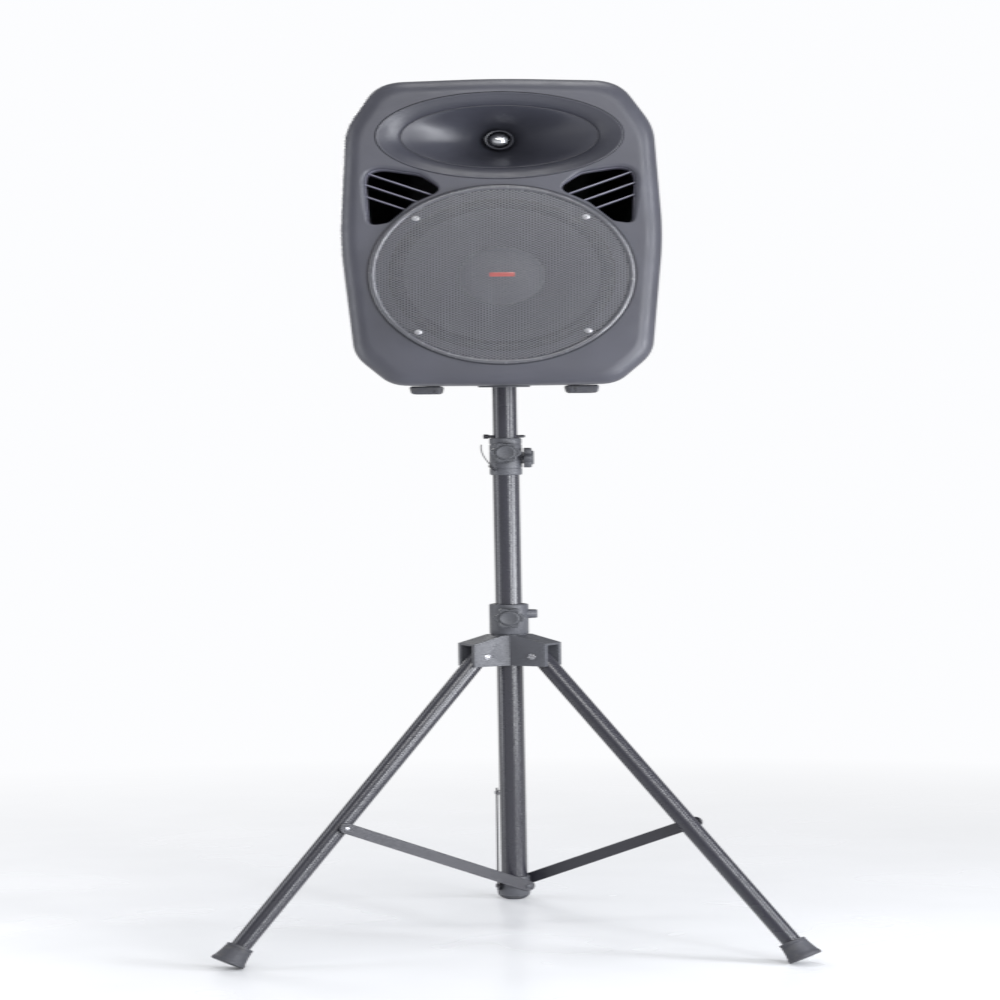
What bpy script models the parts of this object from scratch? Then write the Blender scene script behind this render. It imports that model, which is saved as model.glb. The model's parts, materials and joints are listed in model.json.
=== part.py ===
"""Two-way moulded loudspeaker on a telescopic tripod stand.

Metres, +Z up, front of the cabinet towards -Y. The origin is the middle of the
footprint, on the floor; the mast stands a little in front of it.
"""

import math

import bmesh
import bpy
from mathutils import Matrix, Vector

# ---------------------------------------------------------------- fits
GAP = 0.0003  # between pieces that touch
RUN = 0.0005  # radial room round a pin or a shaft that turns
THIN = 0.0001  # merge distance of turned shapes

# Sides of the round pieces, by size.
WIDE_STEPS = 30
STEPS = 20
SMALL_STEPS = 12

# ---------------------------------------------------------------- stand
UPPER_TUBE_D = 0.035  # the standard speaker pole
UPPER_TUBE_WALL = 0.0015
UPPER_TUBE_TAIL = 0.68  # how far the upper tube reaches down from the clamp
MAIN_TUBE_WALL = 0.0012
TUBE_PLAY = 0.00055
MAIN_TUBE_D = UPPER_TUBE_D + 2 * (TUBE_PLAY + MAIN_TUBE_WALL)
MAST_BOTTOM_Z = 0.104
CLAMP_TOP_Z = 1.100
CLAMP_HEIGHT = 0.080
CLAMP_WALL = 0.00425
CLAMP_D = MAIN_TUBE_D + 2 * CLAMP_WALL
CLAMP_LIP = 0.015
CLAMP_FRONT_KNOB_Z = 1.069
CLAMP_SIDE_KNOB_Z = 1.057
PIN_D = 0.006
PIN_HOLE_PITCH = 0.100
PIN_HOLES = 6

KNOB_D = 0.047
KNOB_THICK = 0.015
KNOB_LOBES = 6
KNOB_STEM_D = 0.008

HUB_BOTTOM_Z = 0.608
HUB_TOP_Z = 0.740
HUB_WALL = 0.00925  # with the bush inside it
HUB_D = MAIN_TUBE_D + 2 * HUB_WALL
HUB_KNOB_Z = 0.712
HUB_ARM_DROP = 0.015  # the arm's top falls this much towards its end
HUB_ROOF = 0.004
BUSH_WALL = 0.002

LEG_D = 0.030
LEG_WALL = 0.0015
LEG_AZIMUTHS = (210.0, 330.0, 90.0)
LEG_SPREAD = 0.474  # from the mast to where a leg's axis meets the floor
LEG_ROOM = 0.01575  # between the main tube and a leg hanging beside it
LEG_PIVOT_R = MAIN_TUBE_D / 2 + LEG_D / 2 + LEG_ROOM
LEG_PIVOT_Z = 0.629
LEG_HEAD = 0.018  # tube above its pivot
LEG_SLOT_PLAY = 0.001
HUB_CHEEK = 0.008  # wall of an arm beside its leg
HUB_ARM_PAST = 0.022  # from a leg's pivot to the arm's end
HUB_ARM_OVER = 0.010  # from a leg's head to the arm's top
HUB_ARM_REACH = LEG_PIVOT_R + HUB_ARM_PAST
HUB_ARM_WIDTH = LEG_D + 2 * (LEG_SLOT_PLAY + HUB_CHEEK)
HUB_ARM_TOP_Z = LEG_PIVOT_Z + LEG_D / 2 + LEG_HEAD + HUB_ARM_OVER
LEG_PIN_D = 0.008
LEG_CAP_WALL = 0.0055
LEG_CAP_FLARE = 0.0055  # the sole is this much wider, all round
LEG_CAP_TOP_D = LEG_D + 2 * LEG_CAP_WALL
LEG_CAP_D = LEG_CAP_TOP_D + 2 * LEG_CAP_FLARE
LEG_CAP_HEIGHT = 0.039
LEG_CAP_SOLE = 0.008
LEG_CAP_FLAT = 0.0018  # depth of the flat where the cap meets the floor

STRAP_WIDTH = 0.022
STRAP_THICK = 0.003
STRAP_ON_LEG = 0.42  # from the leg's pivot to the strap's rivet
STRAP_PIVOT_RHO = -0.009
STRAP_PIVOT_Z = 0.125
STRAP_RIVET_D = 0.005
BRACKET_SIDE = 0.00775
BRACKET_D = MAIN_TUBE_D + 2 * BRACKET_SIDE
BRACKET_HEIGHT = 0.042
BRACKET_WALL = 0.0024

# ---------------------------------------------------------------- cabinet
BODY_Z = 1.213  # underside of the cabinet
BODY_HALF_WIDTH = 0.220
BODY_HEIGHT = 0.640
BAFFLE_FRONT_Y = -0.185  # measured from the mast
BAFFLE_DEPTH = 0.057
CABINET_DEPTH = 0.350
SHELL_WALL = 0.004
WOOFER_Z = 0.230  # above the cabinet's underside
WOOFER_HOLE_D = 0.318
WOOFER_FLANGE_D = WOOFER_HOLE_D + 0.034
SURROUND_WIDTH = 0.0215
CONE_D = WOOFER_HOLE_D - 2 * SURROUND_WIDTH
DUST_CAP_D = 0.120
CONE_DEPTH = 0.058
MAGNET_D = 0.156
MAGNET_DEPTH = 0.045
GRILLE_D = WOOFER_FLANGE_D + 0.019
GRILLE_DOME = 0.006
GRILLE_THICK = 0.0015
GRILLE_SCREW_R = WOOFER_HOLE_D / 2 + 0.008
HORN_Z = 0.519
HORN_MOUTH = (0.171, 0.0885)  # half width, half height
HORN_SEAM = (0.1385, 0.0655)
HORN_THROAT_R = 0.020
HORN_DEPTH = 0.120
HORN_SEAM_DEPTH = 0.024
HORN_WALL = 0.003
PLUG_D = 0.031
DRIVER_D = 0.092
DRIVER_DEPTH = 0.046
PORT_CORNERS = ((0.193, 0.462), (0.078, 0.420), (0.178, 0.322))
PORT_RADII = (0.030, 0.022, 0.026)
PORT_DEPTH = 0.060
PORT_WALL = 0.002
FIN_COUNT = 3
FIN_PITCH = 0.0245
FIN_THICK = 0.002
FIN_SLOPE = 27.0
SOCKET_DEPTH = 0.085
SOCKET_WALL = 0.003
SOCKET_FLANGE_D = 0.076
FOOT_SIZE = (0.047, 0.050, 0.017)
FOOT_X = 0.111
FOOT_YS = (-0.095, 0.065)
HANDLE_SPAN = 0.150
HANDLE_BAR_D = 0.016
HANDLE_Y = -0.060
HANDLE_RISE = 0.006  # how far the bar stands above the cabinet's top
HANDLE_CUP = (0.172, 0.062, 0.042)
PANEL_SIZE = (0.200, 0.300)
PANEL_Z = 0.288
PANEL_THICK = 0.003
PANEL_LAP = 0.010
SINK_SIZE = (0.080, 0.022, 0.200)
SINK_FINS = 7
LEVEL_KNOB_D = 0.020
LEVEL_KNOB_ZS = (0.405, 0.365)
JACK_D = 0.026
JACK_BORE_D = 0.012
ROCKER_SIZE = (0.014, 0.020, 0.009)
ROCKER_TILT = 10.0
INLET_SIZE = (0.030, 0.026)
INLET_CAVITY = (0.023, 0.016, 0.016)
BOARD_SIZE = (0.150, 0.200)
BOARD_THICK = 0.002
BOARD_STAND = 0.018

# Outline of the cabinet's front, right half: corner, and the radius that rounds it. It is
# drawn at this half width and height, and scaled to those above.
OUTLINE_SIZE = (0.220, 0.640)
OUTLINE = (
    ((0.000, 0.000), 0.0),
    ((0.152, 0.001), 0.020),
    ((0.203, 0.062), 0.060),
    ((0.224, 0.310), 0.900),
    ((0.213, 0.515), 0.120),
    ((0.154, 0.631), 0.030),
    ((0.000, 0.640), 0.0),
)
CORNER_STEPS = 3

# Sections of the cabinet: depth behind the front, side inset, lift, and drop of the top.
BAFFLE_SECTIONS = (
    (0.0000, 0.0260, 0.0260, 0.0300),
    (0.0040, 0.0120, 0.0110, 0.0140),
    (0.0140, 0.0030, 0.0020, 0.0030),
    (0.0300, 0.0000, 0.0000, 0.0000),
    (BAFFLE_DEPTH, 0.0000, 0.0000, 0.0000),
)
REAR_SECTIONS = (
    (BAFFLE_DEPTH + GAP, 0.0000, 0.0000, 0.0000),
    (BAFFLE_DEPTH + 0.0080, 0.0000, 0.0000, 0.0000),
    (0.0900, 0.0050, 0.0000, 0.0040),
    (0.1850, 0.0180, 0.0000, 0.0180),
    (0.2850, 0.0470, 0.0000, 0.0450),
    (0.3250, 0.0660, 0.0120, 0.0680),
    (0.3430, 0.0800, 0.0240, 0.0860),
    (CABINET_DEPTH, 0.0950, 0.0380, 0.1000),
)

COLOURS = {
    "black_plastic": ((0.018, 0.019, 0.022), 0.50, 0.0),
    "nylon": ((0.022, 0.023, 0.027), 0.42, 0.0),
    "black_paint": ((0.010, 0.010, 0.012), 0.28, 0.1),
    "steel": ((0.55, 0.55, 0.56), 0.30, 1.0),
    "black_steel": ((0.02, 0.02, 0.022), 0.40, 0.3),
    "rubber": ((0.020, 0.020, 0.021), 0.80, 0.0),
    "paper": ((0.030, 0.030, 0.032), 0.85, 0.0),
    "ferrite": ((0.040, 0.038, 0.038), 0.70, 0.0),
    "aluminium": ((0.50, 0.50, 0.52), 0.35, 1.0),
    "board": ((0.02, 0.12, 0.05), 0.60, 0.0),
}

DOWN_Y = Matrix.Rotation(math.radians(90), 4, "X")  # turns +Z to -Y
ALONG_X = Matrix.Rotation(math.radians(90), 4, "Y")  # turns +Z to +X


# ---------------------------------------------------------------- helpers
def clear_scene():
    for obj in list(bpy.data.objects):
        bpy.data.objects.remove(obj, do_unlink=True)


def make_collection(name):
    made = bpy.data.collections.new(name)
    bpy.context.scene.collection.children.link(made)
    return made


def make_material(name):
    colour, roughness, metallic = COLOURS[name]
    made = bpy.data.materials.new(name)
    made.use_nodes = True
    shader = made.node_tree.nodes["Principled BSDF"]
    shader.inputs["Base Color"].default_value = (*colour, 1.0)
    shader.inputs["Roughness"].default_value = roughness
    shader.inputs["Metallic"].default_value = metallic
    return made


clear_scene()
PARTS = make_collection("loudspeaker_on_stand")
CUTTERS = make_collection("cutters")


def empty(name, parent=None, at=(0, 0, 0), turn=(0, 0, 0)):
    """An empty on a joint's axis, which carries the pieces that move about it."""
    made = bpy.data.objects.new(name, None)
    made.empty_display_size = 0.03
    made.parent = parent
    made.location = at
    made.rotation_euler = [math.radians(angle) for angle in turn]
    PARTS.objects.link(made)
    return made


def add(name, data, parent, kind, matrix=None):
    """Links a piece, or a cutter when kind is None, under its parent."""
    made = bpy.data.objects.new(name, data)
    made.parent = parent
    if matrix is not None:
        made.matrix_local = matrix
    if kind is None:
        made.hide_render = True
        made.display_type = "WIRE"
        CUTTERS.objects.link(made)
        return made
    made.data.materials.append(make_material(kind))
    PARTS.objects.link(made)
    return made


def mesh_from(name, bm):
    bmesh.ops.recalc_face_normals(bm, faces=bm.faces)
    mesh = bpy.data.meshes.new(name)
    bm.to_mesh(mesh)
    bm.free()
    return mesh


def smooth(obj, angle=35.0):
    obj.data.shade_smooth()
    obj.data.set_sharp_from_angle(angle=math.radians(angle))
    return obj


def box(name, low, high, parent, kind=None):
    """A box between two corners, from a unit cube with its scale applied."""
    low = Vector(low)
    high = Vector(high)
    bm = bmesh.new()
    bmesh.ops.create_cube(bm, size=1.0)
    bmesh.ops.scale(bm, vec=high - low, verts=bm.verts)
    bmesh.ops.translate(bm, vec=(high + low) / 2, verts=bm.verts)
    return add(name, mesh_from(name, bm), parent, kind)


def rod(name, radius, start, end, parent, kind=None, sides=20):
    """A cylinder from start to end."""
    start = Vector(start)
    span = Vector(end) - start
    bm = bmesh.new()
    bmesh.ops.create_cone(
        bm, cap_ends=True, segments=sides, radius1=radius, radius2=radius, depth=span.length
    )
    turn = Vector((0, 0, 1)).rotation_difference(span).to_matrix().to_4x4()
    bm.transform(Matrix.Translation(start + span / 2) @ turn)
    return smooth(add(name, mesh_from(name, bm), parent, kind))


def turned(name, profile, parent, kind=None, matrix=None, steps=STEPS):
    """A profile of (radius, height) points, turned about Z. A profile that touches the
    axis is left open there, and any other is closed into a ring."""
    mesh = bpy.data.meshes.new(name)
    points = [(radius, 0.0, height) for radius, height in profile]
    edges = [(i, i + 1) for i in range(len(points) - 1)]
    if profile[0][0] > THIN:
        edges.append((len(points) - 1, 0))
    mesh.from_pydata(points, edges, [])
    made = add(name, mesh, parent, kind, matrix)
    screw = made.modifiers.new("turn", "SCREW")
    screw.steps = steps
    screw.render_steps = steps
    screw.use_merge_vertices = True
    screw.merge_threshold = THIN
    screw.use_smooth_shade = True
    return made


def ring(name, outer, inner, low, high, parent, kind=None, matrix=None, steps=STEPS):
    profile = ((outer, high), (outer, low), (inner, low), (inner, high))
    return turned(name, profile, parent, kind, matrix, steps)


def boolean(obj, other, operation):
    made = obj.modifiers.new(other.name, "BOOLEAN")
    made.operation = operation
    made.solver = "EXACT"
    made.object = other
    return obj


def cut(obj, *others):
    for other in others:
        boolean(obj, other, "DIFFERENCE")
    return obj


def join(obj, *others):
    for other in others:
        boolean(obj, other, "UNION")
    return obj


def bevel(obj, width, segments=2, angle=40.0):
    made = obj.modifiers.new("edges", "BEVEL")
    made.width = width
    made.segments = segments
    made.limit_method = "ANGLE"
    made.angle_limit = math.radians(angle)
    return obj


def eased(corners, radii, steps=CORNER_STEPS):
    """A closed outline whose corners are rounded, as (x, y) points."""
    points = []
    count = len(corners)
    for i, (corner, radius) in enumerate(zip(corners, radii)):
        here = Vector(corner)
        before = Vector(corners[i - 1]) - here
        after = Vector(corners[(i + 1) % count]) - here
        if radius <= 0:
            points.append(here)
            continue
        turn = math.pi - before.angle(after)
        room = 0.48 * min(before.length, after.length)
        reach = min(radius * math.tan(turn / 2), room)
        start = here + before.normalized() * reach
        end = here + after.normalized() * reach
        for k in range(steps + 1):
            t = k / steps
            points.append(start * (1 - t) ** 2 + here * 2 * t * (1 - t) + end * t**2)
    return points


def grown(outline, distance):
    """The outline moved outwards by a distance, point by point, along its normals."""
    count = len(outline)
    area = sum(outline[i - 1].cross(outline[i]) for i in range(count))
    side = 1 if area > 0 else -1
    moved = []
    for i, point in enumerate(outline):
        along = (outline[(i + 1) % count] - outline[i - 1]).normalized()
        moved.append(point + Vector((along.y, -along.x)) * side * distance)
    return moved


def prism(name, outline, low, high, parent, kind=None, matrix=None):
    """A flat outline in X and Z, as a solid from y = low to y = high."""
    bm = bmesh.new()
    verts = [bm.verts.new((point[0], low, point[1])) for point in outline]
    face = bm.faces.new(verts)
    made = bmesh.ops.extrude_face_region(bm, geom=[face])
    top = [item for item in made["geom"] if isinstance(item, bmesh.types.BMVert)]
    bmesh.ops.translate(bm, vec=(0, high - low, 0), verts=top)
    return add(name, mesh_from(name, bm), parent, kind, matrix)


def ellipse(half_x, half_z, centre_z, count=WIDE_STEPS):
    step = 2 * math.pi / count
    return [
        Vector((half_x * math.cos(i * step), centre_z + half_z * math.sin(i * step)))
        for i in range(count)
    ]


def loft(name, sections, parent, kind=None, cap_first=False, cap_last=False):
    """Outlines of one point count, each (y, points), skinned from first to last."""
    bm = bmesh.new()
    rows = [[bm.verts.new((p[0], y, p[1])) for p in points] for y, points in sections]
    count = len(rows[0])
    for one, two in zip(rows, rows[1:]):
        for i in range(count):
            j = (i + 1) % count
            bm.faces.new((one[i], one[j], two[j], two[i]))
    if cap_first:
        bm.faces.new(rows[0])
    if cap_last:
        bm.faces.new(rows[-1])
    return add(name, mesh_from(name, bm), parent, kind)


def solidify(obj, thickness):
    made = obj.modifiers.new("wall", "SOLIDIFY")
    made.thickness = thickness
    made.offset = -1.0
    made.use_even_offset = True
    return obj


def flat_curve(name, outlines, thickness, parent, kind, matrix):
    """A plate from 2D outlines: the first is its edge, and the others are its holes."""
    curve = bpy.data.curves.new(name, "CURVE")
    curve.dimensions = "2D"
    curve.fill_mode = "BOTH"
    curve.extrude = thickness / 2
    for outline in outlines:
        spline = curve.splines.new("POLY")
        spline.points.add(len(outline) - 1)
        for point, (x, y) in zip(spline.points, outline):
            point.co = (x, y, 0.0, 1.0)
        spline.use_cyclic_u = True
    return add(name, curve, parent, kind, matrix)


def wire(name, points, radius, parent, kind, cyclic=False):
    curve = bpy.data.curves.new(name, "CURVE")
    curve.dimensions = "3D"
    curve.bevel_depth = radius
    curve.bevel_resolution = 2
    curve.use_fill_caps = True
    spline = curve.splines.new("POLY")
    spline.points.add(len(points) - 1)
    for point, place in zip(spline.points, points):
        point.co = (*place, 1.0)
    spline.use_cyclic_u = cyclic
    return add(name, curve, parent, kind)


def circle(radius, count=20, centre=(0.0, 0.0)):
    step = 2 * math.pi / count
    return [
        (centre[0] + radius * math.cos(i * step), centre[1] + radius * math.sin(i * step))
        for i in range(count)
    ]


# ---------------------------------------------------------------- stand
def knob(name, parent, at, axis_turn, inner_end, seat):
    """A lobed clamp knob on its own axis. Its screw runs in from the seat to inner_end;
    both are distances from the mast's axis, and at gives the knob's height."""
    frame = empty(name + "_axis", parent, (0, 0, at), (0, 0, axis_turn))
    count = KNOB_LOBES * 5
    outline = []
    for i in range(count):
        angle = 2 * math.pi * i / count
        radius = KNOB_D / 2 * (0.90 + 0.10 * math.cos(KNOB_LOBES * angle))
        outline.append(Vector((radius * math.cos(angle), radius * math.sin(angle))))
    start = -(seat + GAP + KNOB_THICK)
    head = prism(name, outline, start, -(seat + GAP), frame, "nylon")
    bevel(head, 0.0012, 1)
    overlap = KNOB_THICK / 2
    stem = rod(name + "_stem", KNOB_STEM_D / 2, (0, start + overlap, 0), (0, -inner_end, 0), frame)
    return join(head, stem)


def screw_hole(name, parent, at, axis_turn):
    """The hole that a clamp knob's screw runs in, as a cutter."""
    frame = empty(name + "_frame", parent, (0, 0, at), (0, 0, axis_turn))
    return rod(name, KNOB_STEM_D / 2 + RUN, (0, -0.1, 0), (0, -0.005, 0), frame)


def make_main_tube(stand):
    radius = MAIN_TUBE_D / 2
    top = CLAMP_TOP_Z - CLAMP_LIP - GAP
    tube = ring("main_tube", radius, radius - MAIN_TUBE_WALL, MAST_BOTTOM_Z + BRACKET_WALL + GAP,
                top, stand, "black_paint")
    for name, height, turn in clamp_knobs():
        cut(tube, screw_hole("tube_hole_" + name, stand, height, turn))
    return tube


def clamp_knobs():
    return (("front", CLAMP_FRONT_KNOB_Z, 0.0), ("side", CLAMP_SIDE_KNOB_Z, 90.0))


def make_mast_clamp(stand):
    outer = CLAMP_D / 2
    low = CLAMP_TOP_Z - CLAMP_HEIGHT
    lip = CLAMP_TOP_Z - CLAMP_LIP
    tube_room = MAIN_TUBE_D / 2 + GAP
    mast_room = UPPER_TUBE_D / 2 + TUBE_PLAY
    edge = 0.003
    profile = (
        (outer - edge, CLAMP_TOP_Z),
        (outer, CLAMP_TOP_Z - edge),
        (outer, low + edge),
        (outer - edge / 2, low),
        (tube_room, low),
        (tube_room, lip),
        (mast_room, lip),
        (mast_room, CLAMP_TOP_Z),
    )
    clamp = turned("mast_clamp", profile, stand, "nylon")
    for name, height, turn in clamp_knobs():
        boss_frame = empty("boss_" + name, stand, (0, 0, height), (0, 0, turn))
        start = (0, -(tube_room + 0.002), 0)
        end = (0, -(outer + 0.002), 0)
        join(clamp, rod("clamp_boss_" + name, 0.013, start, end, boss_frame))
    for name, height, turn in clamp_knobs():
        cut(clamp, screw_hole("clamp_hole_" + name, stand, height, turn))
    inner_end = UPPER_TUBE_D / 2 + GAP
    for name, height, turn in clamp_knobs():
        knob("clamp_knob_" + name, stand, height, turn, inner_end, outer + 0.002)
    return clamp


def make_pin_wire(stand):
    """The spring wire that is hooked round the clamp below the pin."""
    radius = CLAMP_D / 2 + 0.0012
    low = CLAMP_TOP_Z - CLAMP_HEIGHT
    points = []
    for i in range(11):  # round the clamp's left, from its back to its front
        t = i / 10
        angle = math.radians(100 + 135 * t)
        height = low + 0.008 + 0.012 * math.sin(math.pi * t)
        points.append((radius * math.cos(angle), radius * math.sin(angle), height))
    for i in range(1, 9):  # out to the left and up, under the pin's head
        t = i / 8
        angle = math.radians(235 - 55 * t)
        reach = radius + 0.011 * math.sin(math.pi * t / 1.6)
        height = low + 0.008 + 0.058 * t
        points.append((reach * math.cos(angle), reach * math.sin(angle), height))
    return wire("pin_wire", points, 0.0009, stand, "black_steel")


def pin_height():
    return CLAMP_TOP_Z + GAP + PIN_D / 2


def make_upper_tube(mast):
    radius = UPPER_TUBE_D / 2
    low = CLAMP_TOP_Z - UPPER_TUBE_TAIL
    high = BODY_Z + SOCKET_DEPTH - SOCKET_WALL - GAP
    tube = ring("upper_tube", radius, radius - UPPER_TUBE_WALL, low, high, mast, "black_paint")
    for i in range(PIN_HOLES):
        height = pin_height() - i * PIN_HOLE_PITCH
        hole = rod("pin_hole_%d" % i, PIN_D / 2 + GAP, (-0.05, 0, height), (0.05, 0, height), mast,
                   sides=SMALL_STEPS)
        cut(tube, hole)
    return tube


def make_locking_pin(mast):
    radius = PIN_D / 2
    head = radius + 0.002
    edge = CLAMP_D / 2  # the head stands clear of the clamp's side
    profile = (
        (0.0, edge + 0.0055),
        (radius * 0.6, edge + 0.0050),
        (radius, edge + 0.0025),
        (radius, -edge),
        (head, -(edge + 0.0010)),
        (head, -(edge + 0.0070)),
        (head - 0.001, -(edge + 0.0080)),
        (0.0, -(edge + 0.0085)),
    )
    frame = empty("locking_pin_axis", mast, (0, 0, pin_height()))
    return turned("locking_pin", profile, frame, "black_steel", ALONG_X, SMALL_STEPS)


def make_bottom_bracket(stand):
    outer = BRACKET_D / 2
    bore = MAIN_TUBE_D / 2 + GAP
    top = MAST_BOTTOM_Z + BRACKET_HEIGHT
    floor = MAST_BOTTOM_Z + BRACKET_WALL
    profile = (
        (0.0, floor),
        (bore, floor),
        (bore, top),
        (outer - 0.002, top),
        (outer, top - 0.002),
        (outer, MAST_BOTTOM_Z + 0.003),
        (outer - 0.003, MAST_BOTTOM_Z),
        (0.0, MAST_BOTTOM_Z),
    )
    bracket = turned("bottom_bracket", profile, stand, "nylon")
    face = bore + BRACKET_WALL
    for i, azimuth in enumerate(LEG_AZIMUTHS, 1):
        side = empty("bracket_side_%d" % i, stand, turn=(0, 0, azimuth))
        low = (-0.06, face, MAST_BOTTOM_Z - 0.01)
        cut(bracket, box("bracket_flat_%d" % i, low, (0.06, face + 0.03, top + 0.01), side))
    for i, azimuth in enumerate(LEG_AZIMUTHS, 1):
        side = bpy.data.objects["bracket_side_%d" % i]
        x = STRAP_PIVOT_RHO
        outside = face + 2 * GAP + STRAP_THICK
        stud = rod("stud_%d" % i, STRAP_RIVET_D / 2, (x, face - 0.0015, STRAP_PIVOT_Z),
                   (x, outside + 0.001, STRAP_PIVOT_Z), side, sides=SMALL_STEPS)
        head = rod("stud_head_%d" % i, STRAP_RIVET_D * 0.9, (x, outside, STRAP_PIVOT_Z),
                   (x, outside + 0.002, STRAP_PIVOT_Z), side, sides=SMALL_STEPS)
        join(bracket, stud, head)
    return bracket


def make_hub(hub_frame):
    """The sliding hub: a clamp collar over three forked arms that hold the legs."""
    bore = MAIN_TUBE_D / 2 + TUBE_PLAY + BUSH_WALL + GAP
    outer = HUB_D / 2
    edge = 0.003
    profile = (
        (outer - edge, HUB_TOP_Z),
        (outer, HUB_TOP_Z - edge),
        (outer, HUB_BOTTOM_Z - 0.002),
        (bore, HUB_BOTTOM_Z - 0.002),
        (bore, HUB_TOP_Z),
    )
    hub = turned("hub", profile, hub_frame, "nylon")
    half = HUB_ARM_WIDTH / 2
    end_top = HUB_ARM_TOP_Z - HUB_ARM_DROP
    start = bore + 0.002
    slope = HUB_ARM_DROP / (HUB_ARM_REACH - outer)
    start_top = end_top + slope * (HUB_ARM_REACH - start)
    below = HUB_BOTTOM_Z - 0.005
    arm_side = ((start, below), (HUB_ARM_REACH, below), (HUB_ARM_REACH, end_top), (start, start_top))
    slot_half = LEG_D / 2 + LEG_SLOT_PLAY
    slot_start = bore + 0.0035
    past = HUB_ARM_REACH + 0.010
    slot_top = start_top - slope * (slot_start - start) - HUB_ROOF
    past_top = end_top - slope * 0.010 - HUB_ROOF
    slot_side = ((slot_start, below - 0.005), (past, below - 0.005), (past, past_top),
                 (slot_start, slot_top))
    frames = []
    for i, azimuth in enumerate(LEG_AZIMUTHS, 1):
        frames.append(empty("hub_arm_frame_%d" % i, hub_frame, turn=(0, 0, azimuth)))
        join(hub, prism("hub_arm_%d" % i, arm_side, -half, half, frames[-1]))
    for i, arm_frame in enumerate(frames, 1):
        cut(hub, prism("hub_slot_%d" % i, slot_side, -slot_half, slot_half, arm_frame))
        near = (LEG_PIVOT_R, -0.1, LEG_PIVOT_Z)
        far = (LEG_PIVOT_R, 0.1, LEG_PIVOT_Z)
        cut(hub, rod("hub_pin_hole_%d" % i, LEG_PIN_D / 2 + GAP, near, far, arm_frame, sides=16))
    cut(hub, box("hub_underside", (-0.2, -0.2, below - 0.1), (0.2, 0.2, HUB_BOTTOM_Z), hub_frame))
    knob_boss = rod("hub_knob_boss", 0.015, (0, -(bore + 0.002), HUB_KNOB_Z),
                    (0, -(outer + 0.003), HUB_KNOB_Z), hub_frame)
    side_boss = rod("hub_side_boss", 0.0095, (bore + 0.002, 0, HUB_KNOB_Z + 0.006),
                    (outer + 0.013, 0, HUB_KNOB_Z + 0.006), hub_frame)
    join(hub, knob_boss, side_boss)
    cut(hub, screw_hole("hub_screw_hole", hub_frame, HUB_KNOB_Z, 0.0))

    inner = MAIN_TUBE_D / 2 + TUBE_PLAY
    bush = ring("hub_bush", inner + BUSH_WALL, inner, HUB_BOTTOM_Z + 0.004, HUB_TOP_Z - 0.004,
                hub_frame, "nylon")
    cut(bush, screw_hole("bush_screw_hole", hub_frame, HUB_KNOB_Z, 0.0))
    knob("hub_knob", hub_frame, HUB_KNOB_Z, 0.0, MAIN_TUBE_D / 2 + GAP, outer + 0.003)
    return hub


def leg_tilt():
    return math.atan2(LEG_SPREAD - LEG_PIVOT_R, LEG_PIVOT_Z)


def leg_length():
    """From the pivot to the middle of the cap's sole, along the leg."""
    sole_height = LEG_CAP_D / 2 * math.sin(leg_tilt()) - LEG_CAP_FLAT
    return (LEG_PIVOT_Z - sole_height) / math.cos(leg_tilt())


def around(radius, azimuth, height):
    angle = math.radians(azimuth)
    return (radius * math.cos(angle), radius * math.sin(angle), height)


def make_leg(hub_frame, number, azimuth, floor):
    tilt = math.degrees(leg_tilt())
    length = leg_length()
    pivot = empty("leg_%d_pivot" % number, hub_frame, around(LEG_PIVOT_R, azimuth, LEG_PIVOT_Z),
                  (0, -tilt, azimuth))
    radius = LEG_D / 2
    tube_end = -(length - LEG_CAP_SOLE) + GAP
    tube = ring("leg_%d" % number, radius, radius - LEG_WALL, tube_end, LEG_HEAD, pivot,
                "black_paint")
    hole_radius = LEG_PIN_D / 2 + RUN
    cut(tube, rod("leg_hole_%d" % number, hole_radius, (0, -0.03, 0), (0, 0.03, 0), pivot, sides=16))

    bore = radius + GAP
    top = -(length - LEG_CAP_HEIGHT)
    cap_top = LEG_CAP_TOP_D / 2
    cap = LEG_CAP_D / 2
    profile = (
        (0.0, -(length - LEG_CAP_SOLE)),
        (bore, -(length - LEG_CAP_SOLE)),
        (bore, top),
        (cap_top - 0.0015, top),
        (cap_top, top - 0.0015),
        (cap - 0.0015, -(length - 0.006)),
        (cap, -(length - 0.004)),
        (cap, -length),
        (0.0, -length),
    )
    foot = turned("leg_foot_%d" % number, profile, pivot, "rubber", None, STEPS)
    cut(foot, floor)

    pin_half = HUB_ARM_WIDTH / 2 + GAP
    head = LEG_PIN_D / 2 + 0.0025
    stem = LEG_PIN_D / 2
    pin_profile = (
        (0.0, pin_half + 0.002),
        (head * 0.6, pin_half + 0.0017),
        (head, pin_half),
        (stem, pin_half),
        (stem, -pin_half),
        (head, -pin_half),
        (head * 0.6, -(pin_half + 0.0017)),
        (0.0, -(pin_half + 0.002)),
    )
    pin_frame = empty("leg_pin_%d_axis" % number, hub_frame,
                      around(LEG_PIVOT_R, azimuth, LEG_PIVOT_Z), (0, 0, azimuth))
    turned("leg_pin_%d" % number, pin_profile, pin_frame, "steel", DOWN_Y, 16)
    return tube


def strap_points():
    """Where a strap's two pivots lie in its leg's plane: (distance out, height)."""
    tilt = leg_tilt()
    outer = (LEG_PIVOT_R + STRAP_ON_LEG * math.sin(tilt),
             LEG_PIVOT_Z - STRAP_ON_LEG * math.cos(tilt))
    return Vector((STRAP_PIVOT_RHO, STRAP_PIVOT_Z)), Vector(outer)


def stadium(length, width, steps=6):
    """A bar's outline with round ends, from one pivot at 0 to the other at length."""
    points = []
    for centre, start in ((length, -90.0), (0.0, 90.0)):
        for k in range(steps + 1):
            angle = math.radians(start + 180.0 * k / steps)
            points.append((centre + width / 2 * math.cos(angle), width / 2 * math.sin(angle)))
    return points


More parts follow.
